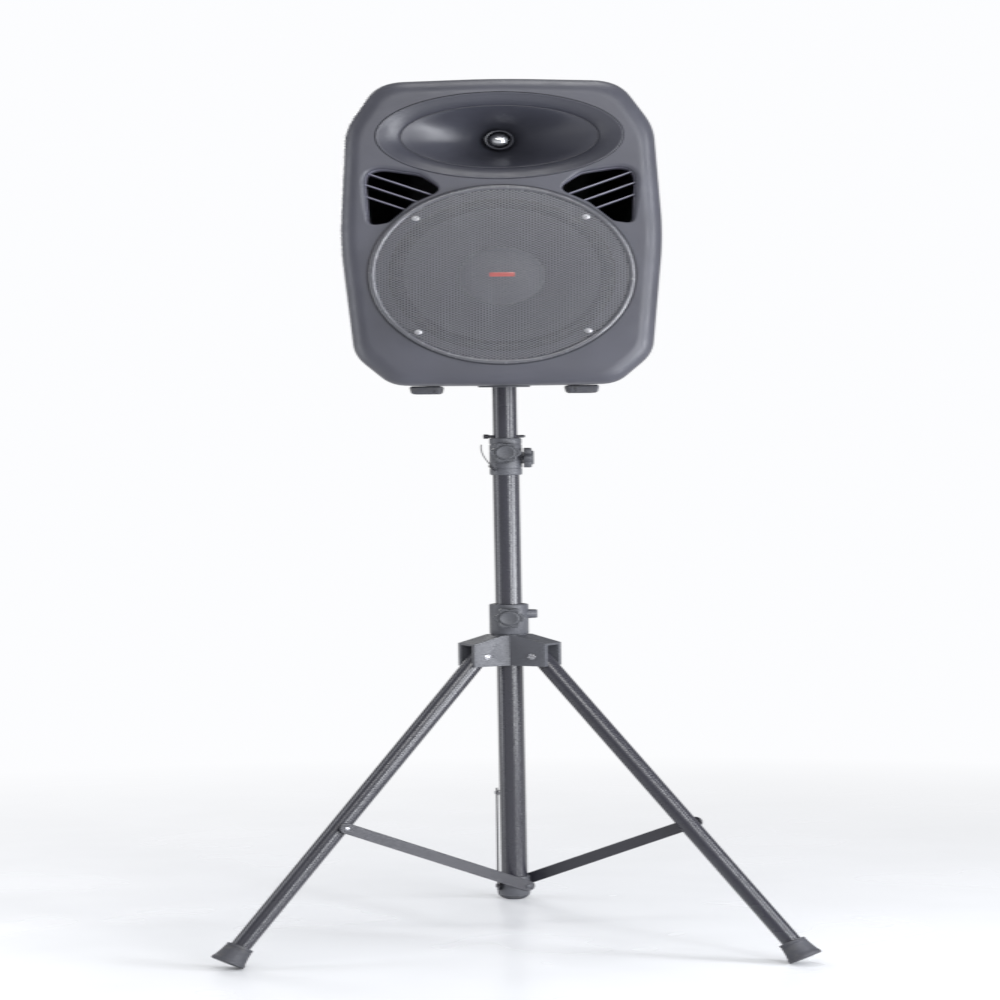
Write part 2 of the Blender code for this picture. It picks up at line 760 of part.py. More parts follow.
def make_strap(stand, number, azimuth):
    """A flat strap beside its leg, from a stud on the bottom bracket to the leg."""
    inner, outer = strap_points()
    span = outer - inner
    slope = math.degrees(math.atan2(span.y, span.x))
    pivot = empty("strap_%d_pivot" % number, stand, around(inner.x, azimuth, inner.y),
                  (0, -slope, azimuth))
    offset = MAIN_TUBE_D / 2 + GAP + BRACKET_WALL + GAP + STRAP_THICK / 2
    outlines = [stadium(span.length, STRAP_WIDTH)]
    outlines.append(circle(STRAP_RIVET_D / 2 + RUN, 16))
    outlines.append(circle(STRAP_RIVET_D / 2 + GAP, 16, (span.length, 0.0)))
    place = Matrix.Translation((0, offset, 0)) @ DOWN_Y
    strap = flat_curve("strap_%d" % number, outlines, STRAP_THICK, pivot, "black_paint", place)

    near = LEG_D / 2 + GAP
    far = offset + STRAP_THICK / 2 + GAP
    shank = STRAP_RIVET_D / 2
    spacer = shank + 0.0035
    profile = (
        (0.0, far + 0.002),
        (shank + 0.0008, far + 0.0017),
        (shank + 0.0022, far),
        (shank, far),
        (shank, far - STRAP_THICK - 2 * GAP),
        (spacer, far - STRAP_THICK - 2 * GAP),
        (spacer, near),
        (0.0, near),
    )
    to_y = Matrix.Translation((span.length, 0, 0)) @ Matrix.Rotation(math.radians(-90), 4, "X")
    turned("strap_rivet_%d" % number, profile, pivot, "steel", to_y, SMALL_STEPS)
    return strap


# ---------------------------------------------------------------- cabinet
def cabinet_section(inset, lift, drop):
    """The cabinet's outline, narrowed at its sides and moved in at its ends."""
    corners = [corner for corner, _ in OUTLINE]
    radii = [radius for _, radius in OUTLINE]
    left = [(-x, z) for x, z in reversed(corners[1:-1])]
    left_radii = list(reversed(radii[1:-1]))
    narrow = (BODY_HALF_WIDTH - inset) / OUTLINE_SIZE[0]
    short = (BODY_HEIGHT - lift - drop) / OUTLINE_SIZE[1]
    # The base's slight rise under the corners isn't stretched, so the feet stay on it.
    rise = OUTLINE[1][0][1]
    held = (OUTLINE_SIZE[1] - lift - drop) / OUTLINE_SIZE[1] - short
    points = eased(corners + left, radii + left_radii)
    return [Vector((p.x * narrow, lift + p.y * short + min(p.y, rise) * held)) for p in points]


def cabinet_loft(name, sections, speaker, kind, cap_first, cap_last):
    rows = [(BAFFLE_FRONT_Y + y, cabinet_section(inset, lift, drop)) for y, inset, lift, drop in sections]
    return loft(name, rows, speaker, kind, cap_first, cap_last)


def port_outline(side):
    corners = [(side * x, z) for x, z in PORT_CORNERS]
    return eased(corners, PORT_RADII, 4)


def make_front_baffle(speaker):
    baffle = cabinet_loft("front_baffle", BAFFLE_SECTIONS, speaker, "black_plastic", True, False)
    solidify(baffle, SHELL_WALL)
    front = BAFFLE_FRONT_Y - 0.01
    back = BAFFLE_FRONT_Y + SHELL_WALL + 0.01
    hole = rod("woofer_hole", WOOFER_HOLE_D / 2, (0, front, WOOFER_Z), (0, back, WOOFER_Z), speaker,
               sides=WIDE_STEPS)
    horn_edge = ellipse(HORN_MOUTH[0] + GAP, HORN_MOUTH[1] + GAP, HORN_Z)
    cut(baffle, hole, prism("horn_hole", horn_edge, front, back, speaker))
    for side, name in ((-1, "left"), (1, "right")):
        edge = grown(port_outline(side), GAP)
        cut(baffle, prism("port_hole_" + name, edge, front, back, speaker))
    for i, (x, z) in enumerate(grille_screw_places(), 1):
        cut(baffle, rod("baffle_screw_hole_%d" % i, 0.0023, (x, front, z), (x, back, z), speaker,
                        sides=12))
    return baffle


def make_rear_cabinet(speaker):
    cabinet = cabinet_loft("rear_cabinet", REAR_SECTIONS, speaker, "black_plastic", False, True)
    solidify(cabinet, SHELL_WALL)
    back = BAFFLE_FRONT_Y + CABINET_DEPTH
    half = PANEL_SIZE[0] / 2 - PANEL_LAP
    tall = PANEL_SIZE[1] / 2 - PANEL_LAP
    opening = box("panel_opening", (-half, back - 0.02, PANEL_Z - tall),
                  (half, back + 0.02, PANEL_Z + tall), speaker)
    socket = rod("socket_hole", socket_radius() + GAP, (0, 0, -0.02), (0, 0, 0.03), speaker, sides=32)
    cup = [size / 2 + GAP for size in HANDLE_CUP[:2]]
    handle = box("handle_opening", (-cup[0], HANDLE_Y - cup[1], BODY_HEIGHT - 0.06),
                 (cup[0], HANDLE_Y + cup[1], BODY_HEIGHT + 0.02), speaker)
    return cut(cabinet, opening, socket, handle)


def grille_screw_places():
    step = GRILLE_SCREW_R / math.sqrt(2)
    return [(x * step, WOOFER_Z + z * step) for x, z in ((-1, 1), (1, 1), (1, -1), (-1, -1))]


def make_grille(speaker):
    """Domed steel grille with a thick rolled rim, and the four screws that hold it."""
    rim = GRILLE_D / 2
    seat = -GAP
    profile = (
        (0.0, -(0.0065 + GRILLE_DOME)),
        (rim * 0.45, -(0.0055 + GRILLE_DOME * 0.8)),
        (rim * 0.80, -(0.0050 + GRILLE_DOME * 0.3)),
        (rim - 0.012, -0.0050),
        (rim - 0.008, -0.0065),
        (rim - 0.002, -0.0065),
        (rim, -0.0045),
        (rim, seat),
        (rim - 0.012, seat),
        (rim - 0.014, -(0.0050 - GRILLE_THICK)),
        (rim * 0.80, -(0.0050 + GRILLE_DOME * 0.3 - GRILLE_THICK)),
        (rim * 0.45, -(0.0055 + GRILLE_DOME * 0.8 - GRILLE_THICK)),
        (0.0, -(0.0065 + GRILLE_DOME - GRILLE_THICK)),
    )
    frame = empty("grille_frame", speaker, (0, BAFFLE_FRONT_Y, WOOFER_Z))
    outwards = [(radius, -height) for radius, height in profile]
    grille = turned("grille", outwards, frame, "black_steel", DOWN_Y, WIDE_STEPS)
    for i, (x, z) in enumerate(grille_screw_places(), 1):
        hole = rod("grille_screw_hole_%d" % i, 0.0023, (x, -0.02, z - WOOFER_Z),
                   (x, 0.01, z - WOOFER_Z), frame, sides=12)
        cut(grille, hole)
        top = 0.0110
        screw = (
            (0.0, top),
            (0.0030, top - 0.0004),
            (0.0052, top - 0.0022),
            (0.0052, top - 0.0030),
            (0.0019, top - 0.0030),
            (0.0019, -(SHELL_WALL - GAP)),
            (0.0, -(SHELL_WALL - GAP)),
        )
        at = empty("grille_screw_%d_axis" % i, speaker, (x, BAFFLE_FRONT_Y, z))
        turned("grille_screw_%d" % i, screw, at, "steel", DOWN_Y, SMALL_STEPS)
    return grille


def make_woofer(speaker):
    """Basket, surround, cone, dust cap, voice coil and magnet, from front to back."""
    face = -(SHELL_WALL + GAP)  # the baffle's inner side; heights run towards the front
    frame = empty("woofer_frame", speaker, (0, BAFFLE_FRONT_Y, WOOFER_Z))
    flange = WOOFER_FLANGE_D / 2
    window = WOOFER_HOLE_D / 2 - 0.002
    cone = CONE_D / 2
    coil = 0.030
    back = face - CONE_DEPTH - 0.030
    plate = MAGNET_D / 2 - 0.006
    flange_thick = 0.003
    straight = 0.009
    basket_profile = (
        (flange, face),
        (flange, face - flange_thick),
        (window + 0.003, face - flange_thick),
        (window + 0.003, face - straight - 0.001),
        (plate + 0.003, back),
        (coil + 0.004, back),
        (coil + 0.004, back + 0.003),
        (plate, back + 0.003),
        (window, face - straight),
        (window, face),
    )
    basket = turned("woofer_basket", basket_profile, frame, "black_steel", DOWN_Y, WIDE_STEPS)
    low = back + 0.016
    high = face - 0.022
    for i in range(3):
        spoke = empty("basket_window_%d" % i, frame, turn=(0, 60.0 * i + 30.0, 0))
        cut(basket, box("basket_cut_%d" % i, (-0.3, -high, -0.034), (0.3, -low, 0.034), spoke))

    roll = face - 0.004
    surround = (
        (window - GAP, roll),
        (window - GAP, roll - 0.0015),
        (window - 0.005, roll - 0.0015),
        (cone + 0.006, roll - 0.0015),
        (cone + GAP, roll - 0.0040),
        (cone + GAP, roll - 0.0020),
        (cone + 0.006, roll + 0.0015),
        ((window + cone) / 2, roll + 0.0035),
        (window - 0.006, roll + 0.0015),
    )
    turned("woofer_surround", surround, frame, "rubber", DOWN_Y, WIDE_STEPS)

    top = roll - 0.0020
    skin = 0.0012
    neck = top - CONE_DEPTH
    middle = (cone + coil) / 2
    middle_top = (top + neck) / 2 - 0.003
    cone_profile = (
        (cone, top),
        (cone, top - skin),
        (middle, middle_top - skin),
        (coil + 0.001, neck - skin),
        (coil + 0.001, neck),
        (middle, middle_top),
    )
    turned("woofer_cone", cone_profile, frame, "paper", DOWN_Y, WIDE_STEPS)

    cap = DUST_CAP_D / 2
    along = (middle - cap) / (middle - coil - 0.001)
    cap_seat = middle_top - along * (middle_top - neck) + GAP
    cap_profile = [(0.0, cap_seat + 0.016)]
    for radius, rise in ((0.4, 0.0140), (0.75, 0.0080), (0.97, 0.0012)):
        cap_profile.append((cap * radius, cap_seat + rise))
    cap_profile += [(cap, cap_seat), (cap * 0.97, cap_seat), (cap * 0.73, cap_seat + 0.0066),
                    (cap * 0.39, cap_seat + 0.0126), (0.0, cap_seat + 0.0146)]
    turned("dust_cap", cap_profile, frame, "paper", DOWN_Y, STEPS)

    ring("voice_coil", coil + 0.0007, coil - 0.0005, back + 0.0012, neck + 0.004, frame, "aluminium",
         DOWN_Y)
    magnet = MAGNET_D / 2
    front = back - GAP
    magnet_profile = (
        (0.0, front),
        (magnet - 0.002, front),
        (magnet, front - 0.002),
        (magnet, front - MAGNET_DEPTH + 0.002),
        (magnet - 0.002, front - MAGNET_DEPTH),
        (0.0, front - MAGNET_DEPTH),
    )
    turned("woofer_magnet", magnet_profile, frame, "ferrite", DOWN_Y)


def make_horn(speaker):
    """Elliptical horn, its throat plug and the compression driver behind it."""
    front = BAFFLE_FRONT_Y + 0.0006
    seam_y = BAFFLE_FRONT_Y + HORN_SEAM_DEPTH
    throat_y = BAFFLE_FRONT_Y + HORN_DEPTH
    stations = (
        (front, HORN_MOUTH[0], HORN_MOUTH[1]),
        (front + 0.006, HORN_MOUTH[0] - 0.006, HORN_MOUTH[1] - 0.005),
        (seam_y, HORN_SEAM[0], HORN_SEAM[1]),
        (seam_y + 0.25 * (throat_y - seam_y), 0.100, 0.050),
        (seam_y + 0.55 * (throat_y - seam_y), 0.056, 0.034),
        (seam_y + 0.80 * (throat_y - seam_y), 0.028, 0.024),
        (throat_y, HORN_THROAT_R, HORN_THROAT_R),
    )
    wall = HORN_WALL
    outside = [(y, ellipse(a, b, HORN_Z)) for y, a, b in stations]
    bore = [(y, ellipse(a - wall, b - wall, HORN_Z)) for y, a, b in stations]
    bore[0] = (front - 0.001, bore[0][1])
    bore[-1] = (throat_y + 0.001, ellipse(HORN_THROAT_R - wall, HORN_THROAT_R - wall, HORN_Z))
    horn = loft("horn", outside, speaker, "black_plastic", True, True)
    cut(horn, loft("horn_bore", bore, speaker, None, True, True))

    axis = empty("horn_axis", speaker, (0, throat_y, HORN_Z))
    flange = ring("horn_flange", DRIVER_D / 2 - 0.004, HORN_THROAT_R - 0.002, 0.0, 0.004, axis, None,
                  DOWN_Y)
    join(horn, flange)
    plug = PLUG_D / 2
    gap_to_throat = HORN_THROAT_R - wall - 0.0035
    tip = 0.034
    profile = (
        (0.0, tip),
        (plug * 0.45, tip - 0.0012),
        (plug * 0.82, tip - 0.0055),
        (plug, tip - 0.0120),
        (plug * 0.95, tip - 0.0170),
        (gap_to_throat, tip - 0.0220),
        (gap_to_throat, 0.0),
        (0.0, 0.0),
    )
    turned("phase_plug", profile, axis, "aluminium", DOWN_Y, 20)
    driver = DRIVER_D / 2
    driver_profile = (
        (0.0, -GAP),
        (driver, -GAP),
        (driver, -0.010),
        (driver * 0.86, -0.012),
        (driver * 0.86, -DRIVER_DEPTH + 0.006),
        (driver * 0.70, -DRIVER_DEPTH),
        (0.0, -DRIVER_DEPTH),
    )
    turned("compression_driver", driver_profile, axis, "ferrite", DOWN_Y)


def make_port(speaker, name, side):
    """A short duct behind one corner window, with slanting fins across it."""
    outline = port_outline(side)
    inner = grown(outline, -PORT_WALL)
    front = BAFFLE_FRONT_Y + 0.0006
    back = front + PORT_DEPTH
    duct = prism("port_" + name, outline, front, back, speaker, "black_plastic")
    cut(duct, prism("port_bore_" + name, inner, front - 0.01, back + 0.01, speaker))
    middle = sum((Vector(corner) for corner in PORT_CORNERS), Vector((0, 0))) / 3
    shell = prism("port_shell_" + name, outline, front + 0.002, back - 0.004, speaker)
    for i in range(FIN_COUNT):
        height = middle.y - 0.001 + (1 - i) * FIN_PITCH
        frame = empty("fin_%s_%d" % (name, i), speaker, (side * middle.x, 0, height),
                      (0, -side * FIN_SLOPE, 0))
        fin = box("fin_bar_%s_%d" % (name, i), (-0.12, front + 0.012, -FIN_THICK / 2),
                  (0.12, back - 0.008, FIN_THICK / 2), frame)
        boolean(fin, shell, "INTERSECT")
        join(duct, fin)
    return duct


def socket_radius():
    return UPPER_TUBE_D / 2 + TUBE_PLAY + SOCKET_WALL


def make_pole_socket(speaker):
    """The cup under the cabinet that drops over the stand's upper tube."""
    bore = UPPER_TUBE_D / 2 + TUBE_PLAY
    outer = socket_radius()
    flange = SOCKET_FLANGE_D / 2
    below = -(GAP + 0.003)
    profile = (
        (0.0, SOCKET_DEPTH),
        (outer - 0.002, SOCKET_DEPTH),
        (outer, SOCKET_DEPTH - 0.002),
        (outer, -GAP),
        (flange, -GAP),
        (flange - 0.001, below),
        (bore + 0.001, below),
        (bore, below + 0.001),
        (bore, SOCKET_DEPTH - SOCKET_WALL),
        (0.0, SOCKET_DEPTH - SOCKET_WALL),
    )
    return turned("pole_socket", profile, speaker, "nylon")


def make_cabinet_feet(speaker):
    wide, deep, tall = FOOT_SIZE
    number = 0
    for y in FOOT_YS:
        for side in (-1, 1):
            number += 1
            x = side * FOOT_X
            low = (x - wide / 2, y - deep / 2, -GAP - tall)
            foot = box("cabinet_foot_%d" % number, low, (x + wide / 2, y + deep / 2, -GAP), speaker,
                       "rubber")
            for vert in foot.data.vertices:
                if vert.co.z < -tall / 2:
                    vert.co.x += 0.003 * (1 if vert.co.x < x else -1)
                    vert.co.y += 0.003 * (1 if vert.co.y < y else -1)
            bevel(foot, 0.003, 1)


def make_top_handle(speaker):
    """A recessed cup in the cabinet's top, with a bar to carry it by."""
    wide, deep, tall = HANDLE_CUP
    top = BODY_HEIGHT - 0.006
    cup = box("handle_cup", (-wide / 2, HANDLE_Y - deep / 2, top - tall),
              (wide / 2, HANDLE_Y + deep / 2, top), speaker, "black_plastic")
    wall = 0.003
    hollow = box("handle_hollow", (-wide / 2 + wall, HANDLE_Y - deep / 2 + wall, top - tall + wall),
                 (wide / 2 - wall, HANDLE_Y + deep / 2 - wall, top + 0.01), speaker)
    cut(cup, hollow)
    bar = HANDLE_BAR_D / 2
    floor = top - tall + wall + GAP
    crown = BODY_HEIGHT + HANDLE_RISE - bar
    half = HANDLE_SPAN / 2 - bar
    points = [(-half, HANDLE_Y, floor)]
    for i in range(13):
        angle = math.pi * (1 - i / 12)
        x = half * math.copysign(abs(math.cos(angle)) ** 0.45, math.cos(angle))
        z = crown - 0.012 + 0.012 * math.sin(angle) ** 0.8
        points.append((x, HANDLE_Y, z))
    points.append((half, HANDLE_Y, floor))
    return wire("top_handle", points, bar, speaker, "black_plastic")


def panel_holes():
    """Where the amplifier panel's openings are centred."""
    x = -PANEL_SIZE[0] / 2 + 0.045
    low = PANEL_Z - PANEL_SIZE[1] / 2
    return {"rocker": (x + 0.036, low + 0.040), "inlet": (x, low + 0.040), "jack": (x, 0.312)}


def make_amplifier(speaker):
    """Panel on the cabinet's back, its heat sink, knobs, sockets, switch and board."""
    back = BAFFLE_FRONT_Y + CABINET_DEPTH + GAP
    wide, tall = PANEL_SIZE
    places = panel_holes()
    outside = back + PANEL_THICK
    panel = box("amp_panel", (-wide / 2, back, PANEL_Z - tall / 2),
                (wide / 2, outside, PANEL_Z + tall / 2), speaker, "black_steel")
    bevel(panel, 0.001, 1)

    knob_x = places["jack"][0]
    stem = 0.003
    for i, z in enumerate(LEVEL_KNOB_ZS, 1):
        hole = rod("level_hole_%d" % i, stem + RUN, (knob_x, back - 0.01, z), (knob_x, back + 0.01, z),
                   speaker, sides=SMALL_STEPS)
        cut(panel, hole)
        radius = LEVEL_KNOB_D / 2
        axis = empty("level_knob_%d_axis" % i, speaker, (knob_x, outside, z))
        profile = (
            (0.0, 0.015),
            (radius - 0.002, 0.015),
            (radius - 0.001, 0.014),
            (radius, 0.001),
            (stem, 0.001),
            (stem, -PANEL_THICK - 0.008),
            (0.0, -PANEL_THICK - 0.008),
        )
        towards_back = Matrix.Rotation(math.radians(-90), 4, "X")
        turned("level_knob_%d" % i, profile, axis, "nylon", towards_back, 18)

    x, z = places["jack"]
    bore = JACK_BORE_D / 2
    body = bore + 0.0025
    cut(panel, rod("jack_hole", body + GAP, (x, back - 0.01, z), (x, back + 0.01, z), speaker, sides=24))
    axis = empty("input_jack_axis", speaker, (x, outside + GAP, z))
    profile = (
        (bore, 0.0025),
        (JACK_D / 2 - 0.001, 0.0025),
        (JACK_D / 2, 0.0015),
        (JACK_D / 2, 0.0),
        (body, 0.0),
        (body, -0.022),
        (bore - 0.004, -0.022),
        (bore - 0.004, -0.020),
        (bore, -0.020),
    )
    towards_back = Matrix.Rotation(math.radians(-90), 4, "X")
    turned("input_jack", profile, axis, "nylon", towards_back, 18)

    x, z = places["rocker"]
    half_x, half_z = ROCKER_SIZE[0] / 2, ROCKER_SIZE[1] / 2
    room = 0.0012
    cut(panel, box("rocker_hole", (x - half_x - GAP, back - 0.01, z - half_z - room),
                   (x + half_x + GAP, back + 0.01, z + half_z + room), speaker))
    axis = empty("power_switch_axis", speaker, (x, outside, z), (-ROCKER_TILT, 0, 0))
    deep = ROCKER_SIZE[2]
    rise = half_z * math.tan(math.radians(ROCKER_TILT))
    rocker_side = ((-half_z, 0.001 + rise), (0.0, 0.001), (half_z, 0.001 + rise),
                   (half_z - 0.001, 0.001 + rise - deep), (-half_z + 0.001, 0.001 + rise - deep))
    turn = Matrix(((0, 1, 0, 0), (0, 0, 1, 0), (1, 0, 0, 0), (0, 0, 0, 1)))
    prism("power_switch", rocker_side, -half_x, half_x, axis, "nylon", turn)

    x, z = places["inlet"]
    half_x, half_z = INLET_CAVITY[0] / 2, INLET_CAVITY[1] / 2
    deep = INLET_CAVITY[2]
    wall = 0.002
    inlet = box("power_inlet", (x - INLET_SIZE[0] / 2, outside + GAP, z - INLET_SIZE[1] / 2),
                (x + INLET_SIZE[0] / 2, outside + 0.003, z + INLET_SIZE[1] / 2), speaker, "nylon")
    body = box("inlet_body", (x - half_x - wall, outside - deep - wall, z - half_z - wall),
               (x + half_x + wall, outside + 0.001, z + half_z + wall), speaker)
    join(inlet, body)
    cut(inlet, box("inlet_cavity", (x - half_x, outside - deep, z - half_z),
                   (x + half_x, outside + 0.01, z + half_z), speaker))
    cut(panel, box("inlet_hole", (x - half_x - wall - GAP, back - 0.01, z - half_z - wall - GAP),
                   (x + half_x + wall + GAP, back + 0.01, z + half_z + wall + GAP), speaker))

    make_heat_sink(speaker, outside)
    make_amp_board(speaker, back)


def make_heat_sink(speaker, outside):
    """A comb of fins, as one extruded bar on the panel's other half."""
    wide, deep, tall = SINK_SIZE
    pitch = wide / SINK_FINS
    base = 0.005
    outline = [(0.0, 0.0)]
    for i in range(SINK_FINS):
        start = i * pitch
        fin = pitch * 0.42
        if i:
            outline.append((start, base))
        outline += [(start, deep), (start + fin, deep)]
        outline.append((start + fin, base))
    outline += [(wide, base), (wide, 0.0)]
    left = PANEL_SIZE[0] / 2 - 0.010 - wide
    turn = Matrix(((1, 0, 0, left), (0, 0, 1, outside + GAP), (0, -1, 0, PANEL_Z + tall / 2), (0, 0, 0, 1)))
    return prism("heat_sink", outline, 0.0, tall, speaker, "aluminium", turn)


def make_amp_board(speaker, back):
    """The amplifier's board, on four posts behind the panel and above the inlet."""
    half_x = BOARD_SIZE[0] / 2
    low = panel_holes()["inlet"][1] + INLET_SIZE[1] / 2 + 0.004
    high = low + BOARD_SIZE[1]
    inside = back - BOARD_STAND
    board = box("amp_board", (-half_x, inside - BOARD_THICK, low), (half_x, inside, high), speaker,
                "board")
    places = [(x, z) for x in (0.006 - half_x, half_x - 0.006) for z in (low + 0.006, high - 0.006)]
    for i, (x, z) in enumerate(places, 1):
        post = rod("board_post_%d" % i, 0.003, (x, inside - 0.001, z), (x, back - GAP, z), speaker,
                   sides=10)
        join(board, post)
    x, z = panel_holes()["jack"]
    jack_room = rod("board_jack_room", JACK_BORE_D / 2 + 0.006, (x, inside - 0.01, z),
                    (x, inside + 0.01, z), speaker)
    return cut(board, jack_room)


def world_box():
    """The lowest and highest corner of every visible piece."""
    bpy.context.view_layer.update()
    graph = bpy.context.evaluated_depsgraph_get()
    low = Vector((math.inf,) * 3)
    high = Vector((-math.inf,) * 3)
    for obj in PARTS.objects:
        if obj.type == "EMPTY":
            continue
        shown = obj.evaluated_get(graph)
        for vert in shown.to_mesh().vertices:
            place = shown.matrix_world @ vert.co
            low = Vector(map(min, low, place))
            high = Vector(map(max, high, place))
        shown.to_mesh_clear()
    return low, high


def main():
    stand = empty("stand")
    mast = empty("mast_slide", stand)
    hub_frame = empty("hub_slide", stand)
    speaker = empty("speaker_swivel", mast, (0, 0, BODY_Z))
    floor = box("floor_cut", (-1.5, -1.5, -0.1), (1.5, 1.5, 0.0), None)

    make_main_tube(stand)
    make_mast_clamp(stand)
    make_pin_wire(stand)
    make_upper_tube(mast)
    make_locking_pin(mast)
    make_bottom_bracket(stand)
    make_hub(hub_frame)
    for number, azimuth in enumerate(LEG_AZIMUTHS, 1):
        make_leg(hub_frame, number, azimuth, floor)
        make_strap(stand, number, azimuth)

    make_front_baffle(speaker)
    make_rear_cabinet(speaker)
    make_grille(speaker)
    make_woofer(speaker)
    make_horn(speaker)
    make_port(speaker, "left", -1)
    make_port(speaker, "right", 1)
    make_pole_socket(speaker)
    make_cabinet_feet(speaker)
    make_top_handle(speaker)
    make_amplifier(speaker)

    low, high = world_box()
    stand.location = (-(low.x + high.x) / 2, -(low.y + high.y) / 2, 0.0)


main()
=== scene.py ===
import json
import math

import bmesh
import bpy
from mathutils import Matrix, Vector


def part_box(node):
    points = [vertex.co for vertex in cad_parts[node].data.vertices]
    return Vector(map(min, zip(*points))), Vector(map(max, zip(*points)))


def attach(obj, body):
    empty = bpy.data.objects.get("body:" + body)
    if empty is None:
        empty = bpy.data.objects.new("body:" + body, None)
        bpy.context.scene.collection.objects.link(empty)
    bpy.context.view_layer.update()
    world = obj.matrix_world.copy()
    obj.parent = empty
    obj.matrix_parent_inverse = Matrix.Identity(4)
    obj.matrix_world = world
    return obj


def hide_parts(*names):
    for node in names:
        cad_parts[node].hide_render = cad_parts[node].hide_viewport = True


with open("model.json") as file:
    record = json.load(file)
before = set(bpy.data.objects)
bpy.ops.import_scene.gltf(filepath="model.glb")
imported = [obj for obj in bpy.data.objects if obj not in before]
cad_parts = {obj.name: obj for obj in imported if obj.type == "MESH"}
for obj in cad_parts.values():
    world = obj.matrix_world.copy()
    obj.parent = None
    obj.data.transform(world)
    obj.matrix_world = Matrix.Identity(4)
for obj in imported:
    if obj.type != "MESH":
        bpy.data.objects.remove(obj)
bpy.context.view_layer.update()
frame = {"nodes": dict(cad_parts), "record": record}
print("frame loaded:", len(frame["nodes"]), "nodes")

# Places that everything else is measured from, in metres.
tubeLow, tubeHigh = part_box("main_tube")
mast = Vector(((tubeLow.x + tubeHigh.x) / 2, (tubeLow.y + tubeHigh.y) / 2, 0.0))
baffleLow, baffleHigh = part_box("front_baffle")
frontY = baffleLow.y
seamY = baffleHigh.y
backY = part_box("rear_cabinet")[1].y
baseZ = baffleLow.z
halfWidth = (baffleHigh.x - baffleLow.x) / 2
cabinetHeight = baffleHigh.z - baffleLow.z

down = Matrix.Rotation(math.radians(90), 4, "X")  # a turned piece's top faces the front
back = Matrix.Rotation(math.radians(-90), 4, "X")  # and here the back

# The camera, and the soft light round the stand.

cameraSet = {
    "height": 1.1835,
    "distance": 5.2,
    "lens": 86.4,
    "pitch": 2.4,
    "roll": -0.80,
    "aside": -0.0095,
    "widen": 1.5,  # the picture is shown this much wider; 1.0 shows true proportions
}
camera = bpy.data.objects.new("camera", bpy.data.cameras.new("camera"))
bpy.context.collection.objects.link(camera)
camera.data.sensor_width = 36.0
camera.data.lens = cameraSet["lens"]
camera.location = (mast.x + cameraSet["aside"], mast.y - cameraSet["distance"], cameraSet["height"])
turnDown = Matrix.Rotation(math.radians(90 - cameraSet["pitch"]), 4, "X")
camera.rotation_euler = (turnDown @ Matrix.Rotation(math.radians(cameraSet["roll"]), 4, "Z")).to_euler()
scene = bpy.context.scene
scene.camera = camera
scene.view_settings.view_transform = "Standard"


def widenPicture():
    scene.use_nodes = True
    tree = scene.node_tree
    tree.nodes.clear()
    layers = tree.nodes.new("CompositorNodeRLayers")
    widen = tree.nodes.new("CompositorNodeScale")
    widen.space = "RELATIVE"
    widen.inputs["X"].default_value = cameraSet["widen"]
    widen.inputs["Y"].default_value = 1.0
    out = tree.nodes.new("CompositorNodeComposite")
    tree.links.new(layers.outputs["Image"], widen.inputs["Image"])
    tree.links.new(widen.outputs["Image"], out.inputs["Image"])


widenPicture()

studio = {
    "sky": (0.975, 0.980, 0.995),
    "skyStrength": 1.0,
    "fillStrength": 0.45,
    "floor": (0.80, 0.81, 0.83),
    "floorNear": 0.42,  # how far from the stand the floor starts to pass into white
    "floorFar": 2.6,
}


def makeSky():
    world = bpy.data.worlds.new("studio")
    scene.world = world
    world.use_nodes = True
    nodes, links = world.node_tree.nodes, world.node_tree.links
    nodes.clear()
    out = nodes.new("ShaderNodeOutputWorld")
    seen = nodes.new("ShaderNodeBackground")
    seen.inputs["Color"].default_value = (*studio["sky"], 1.0)
    seen.inputs["Strength"].default_value = studio["skyStrength"]
    fill = nodes.new("ShaderNodeBackground")
    fill.inputs["Color"].default_value = (*studio["sky"], 1.0)
    fill.inputs["Strength"].default_value = studio["fillStrength"]
    path = nodes.new("ShaderNodeLightPath")
    mix = nodes.new("ShaderNodeMixShader")
    links.new(path.outputs["Is Camera Ray"], mix.inputs["Fac"])
    links.new(fill.outputs["Background"], mix.inputs[1])
    links.new(seen.outputs["Background"], mix.inputs[2])
    links.new(mix.outputs["Shader"], out.inputs["Surface"])


def softbox(name, place, target, wide, tall, power, tint=(1.0, 1.0, 1.0)):
    lamp = bpy.data.lights.new(name, "AREA")
    lamp.shape = "RECTANGLE"
    lamp.size = wide
    lamp.size_y = tall
    lamp.energy = power
    lamp.color = tint
    made = bpy.data.objects.new(name, lamp)
    made.location = place
    made.rotation_euler = (Vector(target) - Vector(place)).to_track_quat("-Z", "Y").to_euler()
    bpy.context.collection.objects.link(made)


makeSky()
middle = (0.0, mast.y, 1.2)
softbox("leftStrip", (-2.4, mast.y - 0.1, 1.3), middle, 0.9, 2.6, 26, (0.93, 0.95, 1.0))
softbox("rightSide", (2.7, mast.y - 1.1, 1.3), middle, 0.6, 2.4, 62, (0.94, 0.96, 1.0))
softbox("rearBox", (-1.6, mast.y + 3.2, 2.4), middle, 1.4, 1.4, 55)
softbox("rightStrip", (1.65, mast.y - 2.85, 1.3), middle, 0.34, 2.8, 70, (0.95, 0.97, 1.0))
softbox("frontTop", (-0.1, mast.y - 3.6, 2.9), (0.0, mast.y, 0.6), 2.6, 0.36, 50)
softbox("topBox", (0.3, mast.y - 0.2, 3.8), (0.0, mast.y, 1.3), 1.6, 1.2, 30)
softbox("lowRight", (1.7, mast.y - 1.2, 0.5), (0.0, mast.y, 1.4), 0.8, 0.8, 22, (0.93, 0.95, 1.0))
print("camera and lights placed")


def showMesh(name, verts, faces):
    mesh = bpy.data.meshes.new(name)
    mesh.from_pydata([tuple(v) for v in verts], [], faces)
    made = bpy.data.objects.new(name, mesh)
    bpy.context.collection.objects.link(made)
    return made


